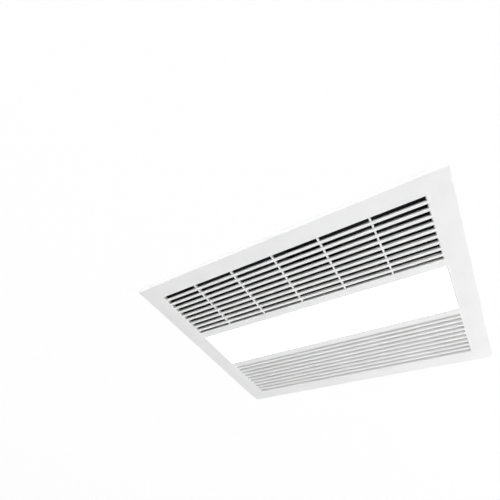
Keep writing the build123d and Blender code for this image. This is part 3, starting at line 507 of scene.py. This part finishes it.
def louvre_bank_tree():
    """Leaning slats in a row: each is a parallelogram with rounded corners, drawn along X."""
    tree, given, result = new_tree(
        "louvre_bank",
        (
            ("Slats", "Int"),
            ("First place", "Vector"),
            ("Pitch", "Vector"),
            ("Half length", "Float"),
            ("Thickness", "Float"),
            ("Depth", "Float"),
            ("Lean", "Float"),
            ("Edge radius", "Float"),
            ("Finish", "Material"),
        ),
    )
    new = tree.nodes.new
    link = tree.links.new
    section = new("GeometryNodeCurvePrimitiveQuadrilateral")
    section.mode = "TRAPEZOID"
    link(given.outputs["Thickness"], section.inputs["Bottom Width"])
    link(given.outputs["Thickness"], section.inputs["Top Width"])
    link(given.outputs["Depth"], section.inputs["Height"])
    link(given.outputs["Lean"], section.inputs["Offset"])
    rounded = new("GeometryNodeFilletCurve")
    rounded.mode = "POLY"
    rounded.inputs["Count"].default_value = 3
    rounded.inputs["Limit Radius"].default_value = True
    link(section.outputs["Curve"], rounded.inputs["Curve"])
    link(given.outputs["Edge radius"], rounded.inputs["Radius"])
    far_end = new("ShaderNodeCombineXYZ")
    link(given.outputs["Half length"], far_end.inputs["Z"])
    near_end = new("ShaderNodeVectorMath")
    near_end.operation = "SCALE"
    near_end.inputs["Scale"].default_value = -1.0
    link(far_end.outputs["Vector"], near_end.inputs["Vector"])
    line = new("GeometryNodeCurvePrimitiveLine")
    link(near_end.outputs["Vector"], line.inputs["Start"])
    link(far_end.outputs["Vector"], line.inputs["End"])
    slat = new("GeometryNodeCurveToMesh")
    slat.inputs["Fill Caps"].default_value = True
    link(line.outputs["Curve"], slat.inputs["Curve"])
    link(rounded.outputs["Curve"], slat.inputs["Profile Curve"])
    row = new("GeometryNodeMeshLine")
    link(given.outputs["Slats"], row.inputs["Count"])
    link(given.outputs["First place"], row.inputs["Start Location"])
    link(given.outputs["Pitch"], row.inputs["Offset"])
    placed = new("GeometryNodeInstanceOnPoints")
    placed.inputs["Rotation"].default_value = (math.radians(90), 0, math.radians(90))
    link(row.outputs["Mesh"], placed.inputs["Points"])
    link(slat.outputs["Mesh"], placed.inputs["Instance"])
    finish_tree(tree, given, result, placed.outputs["Instances"])
    return tree


def repeat_tree():
    """Repeats the given shape along a line, or over a grid of two lines."""
    tree, given, result = new_tree(
        "repeat_in_rows",
        (
            ("Count", "Int"),
            ("Step", "Vector"),
            ("Rows", "Int"),
            ("Row step", "Vector"),
            ("Finish", "Material"),
        ),
    )
    new = tree.nodes.new
    link = tree.links.new
    line = new("GeometryNodeMeshLine")
    link(given.outputs["Count"], line.inputs["Count"])
    link(given.outputs["Step"], line.inputs["Offset"])
    rows = new("GeometryNodeMeshLine")
    link(given.outputs["Rows"], rows.inputs["Count"])
    link(given.outputs["Row step"], rows.inputs["Offset"])
    one_row = new("GeometryNodeInstanceOnPoints")
    link(line.outputs["Mesh"], one_row.inputs["Points"])
    link(given.outputs["Geometry"], one_row.inputs["Instance"])
    all_rows = new("GeometryNodeInstanceOnPoints")
    link(rows.outputs["Mesh"], all_rows.inputs["Points"])
    link(one_row.outputs["Instances"], all_rows.inputs["Instance"])
    finish_tree(tree, given, result, all_rows.outputs["Instances"])
    return tree


def screw_tree():
    """A washer-faced hexagon head on each given point, turned to the way it looks out."""
    tree, given, result = new_tree(
        "sheet_screws",
        (
            ("Head radius", "Float"),
            ("Head height", "Float"),
            ("Washer radius", "Float"),
            ("Finish", "Material"),
        ),
    )
    new = tree.nodes.new
    link = tree.links.new
    whole = new("GeometryNodeJoinGeometry")
    # Washer, hexagon and crown: sides, radius, top against foot, and start and end as shares of the height
    for sides, radius, taper, low, high in (
        (28, "Washer radius", 0.92, 0.0, 0.25),
        (6, "Head radius", 1.0, 0.2, 0.8),
        (6, "Head radius", 0.82, 0.8, 1.0),
    ):
        body = new("GeometryNodeMeshCone")
        body.fill_type = "NGON"
        body.inputs["Vertices"].default_value = sides
        link(given.outputs[radius], body.inputs["Radius Bottom"])
        link(reckoned(tree, "MULTIPLY", given.outputs[radius], taper), body.inputs["Radius Top"])
        link(reckoned(tree, "MULTIPLY", given.outputs["Head height"], high - low), body.inputs["Depth"])
        lift = new("ShaderNodeCombineXYZ")
        link(reckoned(tree, "MULTIPLY", given.outputs["Head height"], low), lift.inputs["Z"])
        raised = new("GeometryNodeTransform")
        link(body.outputs["Mesh"], raised.inputs["Geometry"])
        link(lift.outputs["Vector"], raised.inputs["Translation"])
        link(raised.outputs["Geometry"], whole.inputs["Geometry"])
    out = new("GeometryNodeInputNamedAttribute")
    out.data_type = "FLOAT_VECTOR"
    out.inputs["Name"].default_value = "out"
    turn = new("FunctionNodeAlignRotationToVector")
    turn.axis = "Z"
    link(out.outputs["Attribute"], turn.inputs["Vector"])
    placed = new("GeometryNodeInstanceOnPoints")
    link(given.outputs["Geometry"], placed.inputs["Points"])
    link(whole.outputs["Geometry"], placed.inputs["Instance"])
    link(turn.outputs["Rotation"], placed.inputs["Rotation"])
    finish_tree(tree, given, result, placed.outputs["Instances"])
    return tree


louvre_bank = louvre_bank_tree()
in_rows = repeat_tree()
sheet_screws = screw_tree()


def grown(tree, name, mesh, values):
    """The mesh that a tree makes from a base mesh and named values."""
    draft = draft_of(name, mesh)
    modifier = draft.modifiers.new("rule", "NODES")
    modifier.node_group = tree
    for item in tree.interface.items_tree:
        if item.in_out == "INPUT" and item.name in values:
            modifier[item.identifier] = values[item.name]
    draft.update_tag()
    return settled(draft)


def repeated(name, mesh, count, step, finish, rows=1, row_step=(0.0, 0.0, 0.0)):
    """The mesh repeated along a row, and the row repeated where there is more than one."""
    values = {"Count": count, "Step": step, "Rows": rows, "Row step": row_step, "Finish": finish}
    return grown(in_rows, name, mesh, values)


# Fascia
def lean_shift(z):
    """How far the louvres have leant towards the light, from the face up to a height."""
    return (z - face_z) * math.tan(louvre_lean)


def fascia_tray():
    """Shallow tray with a rim, two collared openings for the louvres and the light window."""
    corner_radius, tolerance = 2 * mm, 0.01 * mm
    half_l, half_w = fascia_length / 2, fascia_width / 2
    bank = slot_length / 2
    right = [bank, window_length / 2, bank + collar_wall, half_l - fascia_wall, half_l]
    xs = [-x for x in reversed(right)] + right
    # Each line across the fascia, and whether it leans with the louvres
    near = [
        (window_width / 2, False),
        (slots_near - collar_wall, True),
        (slots_near, True),
        (slots_far - outer_lip, True),
        (slots_far + collar_wall, True),
        (half_w - fascia_wall, False),
        (half_w, False),
    ]
    ys = [(-y, leans) for y, leans in reversed(near)] + near
    levels = [face_z, back_z, 0.0]

    def top_of(column, row):
        """Level that a cell of the grid reaches: 0 is an opening, 1 the face's back, 2 a rim or collar."""
        x = abs((xs[column] + xs[column + 1]) / 2)
        y = abs((ys[row][0] + ys[row + 1][0]) / 2)
        if x < bank and slots_near < y < slots_far - outer_lip:
            return 0
        if x < window_length / 2 and y < window_width / 2:
            return 0
        if x > half_l - fascia_wall or y > half_w - fascia_wall:
            return 2
        if x < bank + collar_wall and slots_near - collar_wall < y < slots_far + collar_wall:
            return 2
        return 1

    shape = bmesh.new()
    corners = {}

    def corner(column, row, level):
        """The grid's corner at a level, made the first time that it is asked for."""
        if (column, row, level) not in corners:
            y, leans = ys[row]
            shift = lean_shift(levels[level]) if leans else 0.0
            y -= math.copysign(shift, y)
            corners[column, row, level] = shape.verts.new((xs[column], y, levels[level]))
        return corners[column, row, level]

    def face(*places):
        """A face between corners of the grid."""
        shape.faces.new([corner(*place) for place in places])

    columns, rows = len(xs) - 1, len(ys) - 1
    tops = {(c, r): top_of(c, r) for c in range(columns) for r in range(rows)}
    for (c, r), top in tops.items():
        if top == 0:
            continue
        for level in (0, top):
            face((c, r, level), (c + 1, r, level), (c + 1, r + 1, level), (c, r + 1, level))
    for c in range(columns + 1):
        for r in range(rows):
            for level in (1, 2):
                if (tops.get((c - 1, r), 0) >= level) != (tops.get((c, r), 0) >= level):
                    face((c, r, level - 1), (c, r + 1, level - 1), (c, r + 1, level), (c, r, level))
    for c in range(columns):
        for r in range(rows + 1):
            for level in (1, 2):
                if (tops.get((c, r - 1), 0) >= level) != (tops.get((c, r), 0) >= level):
                    face((c, r, level - 1), (c + 1, r, level - 1), (c + 1, r, level), (c, r, level))
    bmesh.ops.recalc_face_normals(shape, faces=shape.faces)

    def outermost(vert):
        """Whether a corner is one of the fascia's four."""
        return abs(vert.co.x) > half_l - tolerance and abs(vert.co.y) > half_w - tolerance

    bmesh.ops.bevel(
        shape,
        geom=[edge for edge in shape.edges if all(outermost(vert) for vert in edge.verts)],
        offset=corner_radius,
        offset_type="OFFSET",
        segments=5,
        profile=0.5,
        affect="EDGES",
    )
    return mesh_of(shape, "fascia_tray")


def fascia_fittings():
    """Hooks over the diffuser's lip and posts with stubs for the leg springs."""
    shape = bmesh.new()
    hook_y, hook_low, hook_wall, nose = 45.7 * mm, -1.8 * mm, 1.2 * mm, 0.9 * mm
    post_near, post_far, post_top = 46.3 * mm, 48.0 * mm, 9.98 * mm
    stub_far, stub_low, stub_high = 51.8 * mm, 4.02 * mm, 8.98 * mm
    hook_x, hook_half, post_half, stub_half = 120 * mm, 5 * mm, 4 * mm, 2.48 * mm
    for side in (-1, 1):
        hook = [
            (side * hook_y, back_z),
            (side * (hook_y + hook_wall), back_z),
            (side * (hook_y + hook_wall), hook_low + hook_wall),
            (side * hook_y, hook_low + hook_wall),
            (side * (hook_y - nose), hook_low),
            (side * hook_y, hook_low),
        ]
        for x in (-hook_x, 0.0, hook_x):
            solid_bar(shape, hook, x - hook_half, x + hook_half)
        post = rectangle(side * post_near, side * post_far, back_z, post_top)
        stub = rectangle(side * post_far, side * stub_far, stub_low, stub_high)
        for x in (-spring_x, spring_x):
            solid_bar(shape, post, x - post_half, x + post_half)
            solid_bar(shape, stub, x - stub_half, x + stub_half)
    return mesh_of(shape, "fascia_fittings")


def louvre_slats(side):
    """The leaning slats of one bank, between its slots."""
    thickness = slot_pitch - slot_gap
    within_tray = 0.05 * mm
    into_collar = 0.7 * mm
    middle = slots_near + slot_gap + thickness / 2 - lean_shift(face_z / 2)
    values = {
        "Slats": slot_count - 1,
        "First place": (0.0, side * middle, face_z / 2),
        "Pitch": (0.0, side * slot_pitch, 0.0),
        "Half length": slot_length / 2 + into_collar,
        "Thickness": thickness,
        "Depth": -face_z - within_tray,
        "Lean": -side * lean_shift(0.0),
        "Edge radius": 0.5 * mm,
        "Finish": fascia_white,
    }
    return grown(louvre_bank, "louvres", bpy.data.meshes.new("louvres_base"), values)


def louvre_ribs(side, setback):
    """The ribs across one bank, set back from the face and sunk into the collar at both ends."""
    into_collar = 0.5 * mm
    low, high = face_z + setback, -0.02 * mm
    near, far = slots_near - into_collar, slots_far + into_collar
    section = [
        (side * (near - lean_shift(low)), low),
        (side * (far - lean_shift(low)), low),
        (side * (far - lean_shift(0.0)), high),
        (side * (near - lean_shift(0.0)), high),
    ]
    first = -(rib_count - 1) / 2 * rib_pitch
    shape = bmesh.new()
    solid_bar(shape, section, first - rib_half, first + rib_half)
    rib = softened(mesh_of(shape, "rib"), "rib", 0.25 * mm)
    return repeated("ribs", rib, rib_count, (rib_pitch, 0.0, 0.0), fascia_white)


fascia_parts = [
    softened(fascia_tray(), "fascia_tray", 0.45 * mm, segments=3),
    softened(fascia_fittings(), "fascia_fittings", 0.2 * mm),
]
for side, setback in ((-1, 1.0 * mm), (1, 4.0 * mm)):
    fascia_parts += [louvre_slats(side), louvre_ribs(side, setback)]
fascia_mesh = smoothed(joined("fascia_moulding", fascia_parts))
piece_of("fascia_moulding", fascia_mesh, fascia_white, "fascia", ("fascia",))


def diffuser_sheet():
    """Opal sheet flush with the face, standing on a wider lip."""
    clearance, lip_reach, lip_thickness, overlap = 0.3 * mm, 3 * mm, 1.5 * mm, 0.2 * mm
    shape = bmesh.new()
    for beyond, low, high in (
        (-clearance, face_z, back_z + overlap),
        (lip_reach, back_z, back_z + lip_thickness),
    ):
        half_l, half_w = window_length / 2 + beyond, window_width / 2 + beyond
        solid_bar(shape, rectangle(-half_w, half_w, low, high), -half_l, half_l)
    return mesh_of(shape, "diffuser_sheet")


diffuser_mesh = softened(diffuser_sheet(), "diffuser_sheet", 0.3 * mm, segments=3)
piece_of("diffuser_sheet", diffuser_mesh, opal, "fascia", ("diffuser",))


# Leg springs
wire = 1.2 * mm
coil_radius = 4.6 * mm
coil_pitch = 1.75 * mm
coil_centre_y = 48.9 * mm
coil_centre_z = 6.5 * mm
coil_turn = math.radians(470)
coil_steps = 60
first_angle = math.radians(215)
leg_angle = math.radians(35)
leg_length = 50 * mm
leg_steps = 8


def wire_mesh(name, paths):
    """Round spring wire along open paths, with closed ends."""
    curve = bpy.data.curves.new(name, "CURVE")
    curve.dimensions = "3D"
    curve.bevel_depth = wire / 2
    curve.bevel_resolution = 4
    curve.use_fill_caps = True
    for path in paths:
        spline = curve.splines.new("POLY")
        spline.points.add(len(path) - 1)
        for point, place in zip(spline.points, path):
            point.co = (*place, 1.0)
    return smoothed(settled(draft_of(name, curve)), 50)


def coil_point(x, side, angle):
    """Place on the coil at one side of the light, at an angle of its turn."""
    y = side * coil_centre_y + side * coil_pitch * (angle - first_angle) / (2 * math.pi)
    return Vector((x + coil_radius * math.cos(angle), y, coil_centre_z + coil_radius * math.sin(angle)))


def coil_path(x, side):
    """Places along the whole coil."""
    angles = [first_angle + coil_turn * step / coil_steps for step in range(coil_steps + 1)]
    return [coil_point(x, side, angle) for angle in angles]


def leg_path(x, side, way, angle):
    """Places along a straight leg that leaves the coil at an angle and leans one way along X."""
    root = coil_point(x, side, angle)
    along = Vector((way * math.sin(leg_angle), 0.0, math.cos(leg_angle)))
    return [root + along * leg_length * step / leg_steps for step in range(leg_steps + 1)]


for label, x in (("left", -spring_x), ("right", spring_x)):
    coils = wire_mesh("coils_" + label, [coil_path(x, side) for side in (-1, 1)])
    piece_of("leg_spring_coils_" + label, coils, spring_steel, "fascia", ("springs_" + label,))
    for which, way, angle in (("low_x", -1, first_angle), ("high_x", 1, first_angle + coil_turn)):
        legs = wire_mesh("leg", [leg_path(x, side, way, angle) for side in (-1, 1)])
        leg = piece_of("leg_spring_leg_" + label + "_" + which, legs, spring_steel, "fascia")
        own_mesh(leg)


# Housing and outside fittings
def softened_node(node, width, finish=None, body="housing"):
    """Stands for a node: the same shape with its edges rounded."""
    mesh = softened(merged_copy(node), node + "_piece", width)
    return piece_of(node + "_piece", mesh, finish or finishes[slot_of[node]], body, (node,))


# Painted shade: black on the shell's and the tray's faces inside the air chamber
softened_node("housing_shell", 0.3 * mm, walls_painted_shade)
softened_node("light_tray", 0.3 * mm, tray_painted_shade)
softened_node("damper_flap", 0.4 * mm, body="damper")
for node, width in (
    ("flange_frame", 0.3 * mm),
    ("housing_lid", 0.4 * mm),
    ("duct_spigot", 0.4 * mm),
    ("cable_gland", 0.5 * mm),
    ("terminal_cover", 0.3 * mm),
):
    softened_node(node, width)


def screw_places(node):
    """Middle of each screw head's foot and the way it looks out, in the order of the node's corners."""
    shape = bmesh.new()
    shape.from_mesh(nodes[node].data)
    bmesh.ops.remove_doubles(shape, verts=shape.verts, dist=merge_reach)
    left = set(shape.verts)
    found = []
    for start in shape.verts:
        if start not in left:
            continue
        left.remove(start)
        island = [start]
        for vert in island:
            for edge in vert.link_edges:
                other = edge.other_vert(vert)
                if other in left:
                    left.remove(other)
                    island.append(other)
        low = Vector([min(v.co[i] for v in island) for i in range(3)])
        high = Vector([max(v.co[i] for v in island) for i in range(3)])
        size = high - low
        thin = min(range(3), key=lambda i: size[i])
        out = Vector((0, 0, 0))
        out[thin] = 1.0 if (low + high)[thin] > 0 else -1.0
        middle = (low + high) / 2
        found.append((middle - out * size[thin] / 2, out))
    shape.free()
    return found


def screw_heads(node):
    """Stands for a node of screws: a washer-faced head at each of its places."""
    places = screw_places(node)
    base = bpy.data.meshes.new(node + "_places")
    base.from_pydata([tuple(place) for place, out in places], [], [])
    ways = base.attributes.new("out", "FLOAT_VECTOR", "POINT")
    for item, (place, out) in zip(ways.data, places):
        item.vector = out
    values = {"Head radius": 3.5 * mm, "Head height": 2.4 * mm, "Washer radius": 4.4 * mm, "Finish": zinc}
    piece_of(node + "_piece", grown(sheet_screws, node, base, values), zinc, "housing", (node,))


for node in ("lid_screws", "volute_screws", "spigot_screws"):
    screw_heads(node)


def stadium(length, radius, steps=9):
    """Outline with straight sides and round ends, along X."""
    reach = length / 2 - radius
    points = []
    for end, first in ((1, -90), (-1, 90)):
        for step in range(steps):
            angle = math.radians(first + 180 * step / (steps - 1))
            points.append((end * reach + radius * math.cos(angle), radius * math.sin(angle)))
    return points


def pressed_bead(length, width, height):
    """Stiffening bead pressed out of a sheet: a flat-topped swell with soft shoulders, looking up."""
    sunk = 0.6 * mm
    shape = bmesh.new()
    rings = []
    # How far in each ring lies, as a share of the width, and its height
    for inset, z in (
        (0.0, -sunk),
        (0.0, 0.0),
        (0.12, 0.12 * height),
        (0.24, 0.5 * height),
        (0.36, 0.88 * height),
        (0.5, height),
    ):
        outline = stadium(length - inset * width, width / 2 * (1 - inset))
        rings.append([shape.verts.new((x, y, z)) for x, y in outline])
    for lower, upper in zip(rings, rings[1:]):
        for index in range(len(lower)):
            after = (index + 1) % len(lower)
            shape.faces.new((lower[index], lower[after], upper[after], upper[index]))
    shape.faces.new(rings[-1])
    shape.faces.new(list(reversed(rings[0])))
    bmesh.ops.remove_doubles(shape, verts=shape.verts, dist=1e-6)
    return smoothed(mesh_of(shape, "pressed_bead"), 60)


# Stiffening beads of the lid and the long walls
quarter_turn = math.radians(90)
lid_top = housing_height + sheet
lid_bead_pitch = 96 * mm
lid_bead = pressed_bead(length=270 * mm, width=12 * mm, height=1.1 * mm)
lid_bead = moved(lid_bead, (0.0, -lid_bead_pitch, lid_top))
lid_beads = repeated("lid_beads", lid_bead, 3, (0.0, lid_bead_pitch, 0.0), galvanised)
piece_of("lid_beads", lid_beads, galvanised, "housing")
wall_bead_x, wall_bead_z, wall_bead_pitch = -150 * mm, 84 * mm, 60 * mm
for label, side in (("near", -1), ("far", 1)):
    upright = Matrix.Rotation(-side * quarter_turn, 4, "X") @ Matrix.Rotation(quarter_turn, 4, "Z")
    first_place = (wall_bead_x, side * housing_width / 2, wall_bead_z)
    wall_bead = pressed_bead(length=112 * mm, width=10 * mm, height=1.0 * mm)
    wall_bead = moved(wall_bead, first_place, upright)
    beads = repeated("wall_beads", wall_bead, 6, (wall_bead_pitch, 0.0, 0.0), galvanised)
    piece_of("wall_beads_" + label, beads, galvanised, "housing")

# Seams of the long walls, folded over the end walls and spot-welded
lap_inner_y, lap_outer_y, lap_low, lap_high = 141 * mm, 155 * mm, 1 * mm, 159 * mm
lap_sunk, lap_proud = 0.05 * mm, 0.8 * mm
weld_y, weld_z, weld_pitch, weld_width, weld_height = 148 * mm, 16 * mm, 32 * mm, 4.4 * mm, 0.2 * mm
for label, end in (("cable_end", -1), ("duct_end", 1)):
    end_wall_x = housing_length / 2
    start, stop = sorted((end * (end_wall_x - lap_sunk), end * (end_wall_x + lap_proud)))
    laps = bmesh.new()
    for side in (-1, 1):
        low_y, high_y = sorted((side * lap_inner_y, side * lap_outer_y))
        solid_bar(laps, rectangle(low_y, high_y, lap_low, lap_high), start, stop)
    seams = softened(mesh_of(laps, "seam_laps"), "seam_laps", 0.25 * mm)
    outwards = Matrix.Rotation(end * quarter_turn, 4, "Y")
    first_place = (end * (end_wall_x + lap_proud), -weld_y, weld_z)
    weld = moved(pressed_bead(weld_width, weld_width, weld_height), first_place, outwards)
    welds = repeated("spot_welds", weld, 5, (0.0, 0.0, weld_pitch), galvanised, 2, (0.0, 2 * weld_y, 0.0))
    piece_of("wall_seams_" + label, joined("wall_seams", [seams, welds]), galvanised, "housing")


def turned_ring(axis_y, axis_z, profile, steps=72, wave=0.0, waves=0):
    """Closed ring about an axis along X, turned from a profile of x, radius and whether it is ribbed."""
    shape = bmesh.new()
    rings = []
    for step in range(steps):
        angle = 2 * math.pi * step / steps
        swell = 1.0 + wave * (0.5 + 0.5 * math.cos(waves * angle))
        ring = []
        for x, radius, ribbed in profile:
            reach = radius * swell if ribbed else radius
            y, z = axis_y + reach * math.cos(angle), axis_z + reach * math.sin(angle)
            ring.append(shape.verts.new((x, y, z)))
        rings.append(ring)
    for step in range(steps):
        ring, after = rings[step], rings[(step + 1) % steps]
        for index in range(len(profile)):
            follow = (index + 1) % len(profile)
            shape.faces.new((ring[index], ring[follow], after[follow], after[index]))
    return smoothed(mesh_of(shape, "turned_ring"), 40)


# Clamp ridges of the spigot
spigot_y, spigot_z = -20.908 * mm, 107 * mm
ridge_profile = (
    (-1.4 * mm, 48.7 * mm),
    (-1.2 * mm, 49.1 * mm),
    (-0.4 * mm, 49.55 * mm),
    (0.4 * mm, 49.55 * mm),
    (1.2 * mm, 49.1 * mm),
    (1.4 * mm, 48.7 * mm),
)
ridges = []
for middle in (226 * mm, 234 * mm):
    profile = [(middle + along, radius, False) for along, radius in ridge_profile]
    ridges.append(turned_ring(spigot_y, spigot_z, profile))
piece_of("spigot_ridges", joined("spigot_ridges", ridges), grey_plastic, "housing")

# Ribbed nut of the cable gland
gland_y, gland_z = -109 * mm, 74 * mm
wall_x = -housing_length / 2
nut_profile = [
    (wall_x - 5.2 * mm, 8.8 * mm, False),
    (wall_x - 5.2 * mm, 10.0 * mm, False),
    (wall_x - 5.8 * mm, 10.4 * mm, True),
    (wall_x - 12.0 * mm, 10.4 * mm, True),
    (wall_x - 14.5 * mm, 9.9 * mm, False),
    (wall_x - 15.6 * mm, 8.8 * mm, False),
]
gland_nut = turned_ring(gland_y, gland_z, nut_profile, steps=96, wave=0.06, waves=16)
piece_of("gland_nut", gland_nut, black_plastic, "housing")


# Stage, light and camera
def seen_directly(tree, path):
    """1 for what the camera sees, straight or through a reflection or glass, and 0 for other light."""
    seen = path.outputs["Is Camera Ray"]
    for kind in ("Is Glossy Ray", "Is Transmission Ray"):
        seen = reckoned(tree, "MAXIMUM", seen, path.outputs[kind])
    return seen


def stage_finish(name, colour, one_sided):
    """Pale matt stage that the camera and reflections see as white, and that keeps soft shadows elsewhere."""
    material = bpy.data.materials.new(name)
    material.use_nodes = True
    tree = material.node_tree
    tree.nodes.clear()
    new, link = tree.nodes.new, tree.links.new
    output = new("ShaderNodeOutputMaterial")
    matt = new("ShaderNodeBsdfDiffuse")
    matt.inputs["Color"].default_value = (*colour, 1.0)
    glow = new("ShaderNodeEmission")
    glow.inputs["Color"].default_value = (1.0, 1.0, 1.0, 1.0)
    glow.inputs["Strength"].default_value = 1.0
    path = new("ShaderNodeLightPath")
    mixed = new("ShaderNodeMixShader")
    link(reckoned(tree, "MULTIPLY", seen_directly(tree, path), 0.97), mixed.inputs["Fac"])
    link(matt.outputs[0], mixed.inputs[1])
    link(glow.outputs[0], mixed.inputs[2])
    last = mixed
    if one_sided:
        facing = new("ShaderNodeNewGeometry")
        clear = new("ShaderNodeBsdfTransparent")
        passed = reckoned(tree, "MAXIMUM", facing.outputs["Backfacing"], path.outputs["Is Shadow Ray"])
        last = new("ShaderNodeMixShader")
        link(passed, last.inputs["Fac"])
        link(mixed.outputs[0], last.inputs[1])
        link(clear.outputs[0], last.inputs[2])
    link(last.outputs[0], output.inputs["Surface"])
    return material


def stage_object(name, corners, z, faces, material):
    """A flat piece of the stage at a height; it isn't part of the unit."""
    mesh = bpy.data.meshes.new(name)
    mesh.from_pydata([(x, y, z) for x, y in corners], [], faces)
    mesh.materials.append(material)
    stage = bpy.data.objects.new(name, mesh)
    bpy.context.scene.collection.objects.link(stage)


def square(reach):
    """The four corners of a square about the middle."""
    return rectangle(-reach, reach, -reach, reach)


# The ceiling board, a hair above the flange, runs round a cut-out that clears the housing
ceiling_z, cut_x, cut_y = 0.0004, 0.1915, 0.1565
ceiling_corners = square(3.0) + rectangle(-cut_x, cut_x, -cut_y, cut_y)
ceiling_faces = [(0, 4, 5, 1), (1, 5, 6, 2), (2, 6, 7, 3), (3, 7, 4, 0)]
ceiling_white = stage_finish("ceiling_white", (0.9, 0.9, 0.9), one_sided=True)
stage_object("ceiling", ceiling_corners, ceiling_z, ceiling_faces, ceiling_white)

floor_z = -1.5
floor_pale = stage_finish("floor_pale", (0.8, 0.8, 0.8), one_sided=False)
stage_object("floor", square(4.0), floor_z, [(0, 1, 2, 3)], floor_pale)

world = bpy.data.worlds.new("studio")
bpy.context.scene.world = world
world.use_nodes = True
tree = world.node_tree
tree.nodes.clear()
world_output = tree.nodes.new("ShaderNodeOutputWorld")
soft = tree.nodes.new("ShaderNodeBackground")
soft.inputs["Color"].default_value = (0.97, 0.97, 0.97, 1.0)
soft.inputs["Strength"].default_value = 0.23
white = tree.nodes.new("ShaderNodeBackground")
white.inputs["Color"].default_value = (1.0, 1.0, 1.0, 1.0)
white.inputs["Strength"].default_value = 1.0
path = tree.nodes.new("ShaderNodeLightPath")
mixed = tree.nodes.new("ShaderNodeMixShader")
tree.links.new(seen_directly(tree, path), mixed.inputs["Fac"])
tree.links.new(soft.outputs[0], mixed.inputs[1])
tree.links.new(white.outputs[0], mixed.inputs[2])
tree.links.new(mixed.outputs[0], world_output.inputs["Surface"])


def soft_lamp(name, place, target, size, power, mirrored):
    """A square lamp that looks at its target; a lamp that isn't mirrored leaves no glare on gloss."""
    lamp = bpy.data.lights.new(name, "AREA")
    lamp.shape = "SQUARE"
    lamp.size = size
    lamp.energy = power
    holder = bpy.data.objects.new(name, lamp)
    bpy.context.scene.collection.objects.link(holder)
    holder.location = place
    holder.rotation_euler = (Vector(target) - Vector(place)).to_track_quat("-Z", "Y").to_euler()
    holder.visible_glossy = mirrored


soft_lamp("near_lamp", (0.2, -1.6, -0.45), (0.0, 0.0, 0.0), size=1.1, power=17.9, mirrored=False)
soft_lamp("right_lamp", (1.2, 0.9, -0.6), (0.1, 0.0, 0.0), size=1.1, power=21.4, mirrored=False)
soft_lamp("top_lamp", (-0.9, -0.9, 1.3), (0.0, 0.0, 0.1), size=1.4, power=10.0, mirrored=True)
soft_lamp("back_lamp", (1.0, 1.3, 0.8), (0.0, 0.0, 0.1), size=1.2, power=9.0, mirrored=True)

# The camera stands where the photograph's did, by a fit to the fascia's corners, rows and window
camera_place = (0.1333, -0.3645, -0.3061)
right = Vector((0.85282, 0.51277, 0.09881))
up = Vector((0.34708, -0.69795, 0.62642))
back = Vector((0.39017, -0.49993, -0.77320))
camera_data = bpy.data.cameras.new("photo_camera")
camera_data.sensor_width = 36.0
camera_data.lens = 22.25
camera_data.clip_start = 0.01
camera = bpy.data.objects.new("photo_camera", camera_data)
bpy.context.scene.collection.objects.link(camera)
turn = Matrix((right, up, back)).transposed().to_4x4()
camera.matrix_world = Matrix.Translation(camera_place) @ turn
bpy.context.scene.camera = camera
bpy.context.scene.view_settings.view_transform = "Standard"
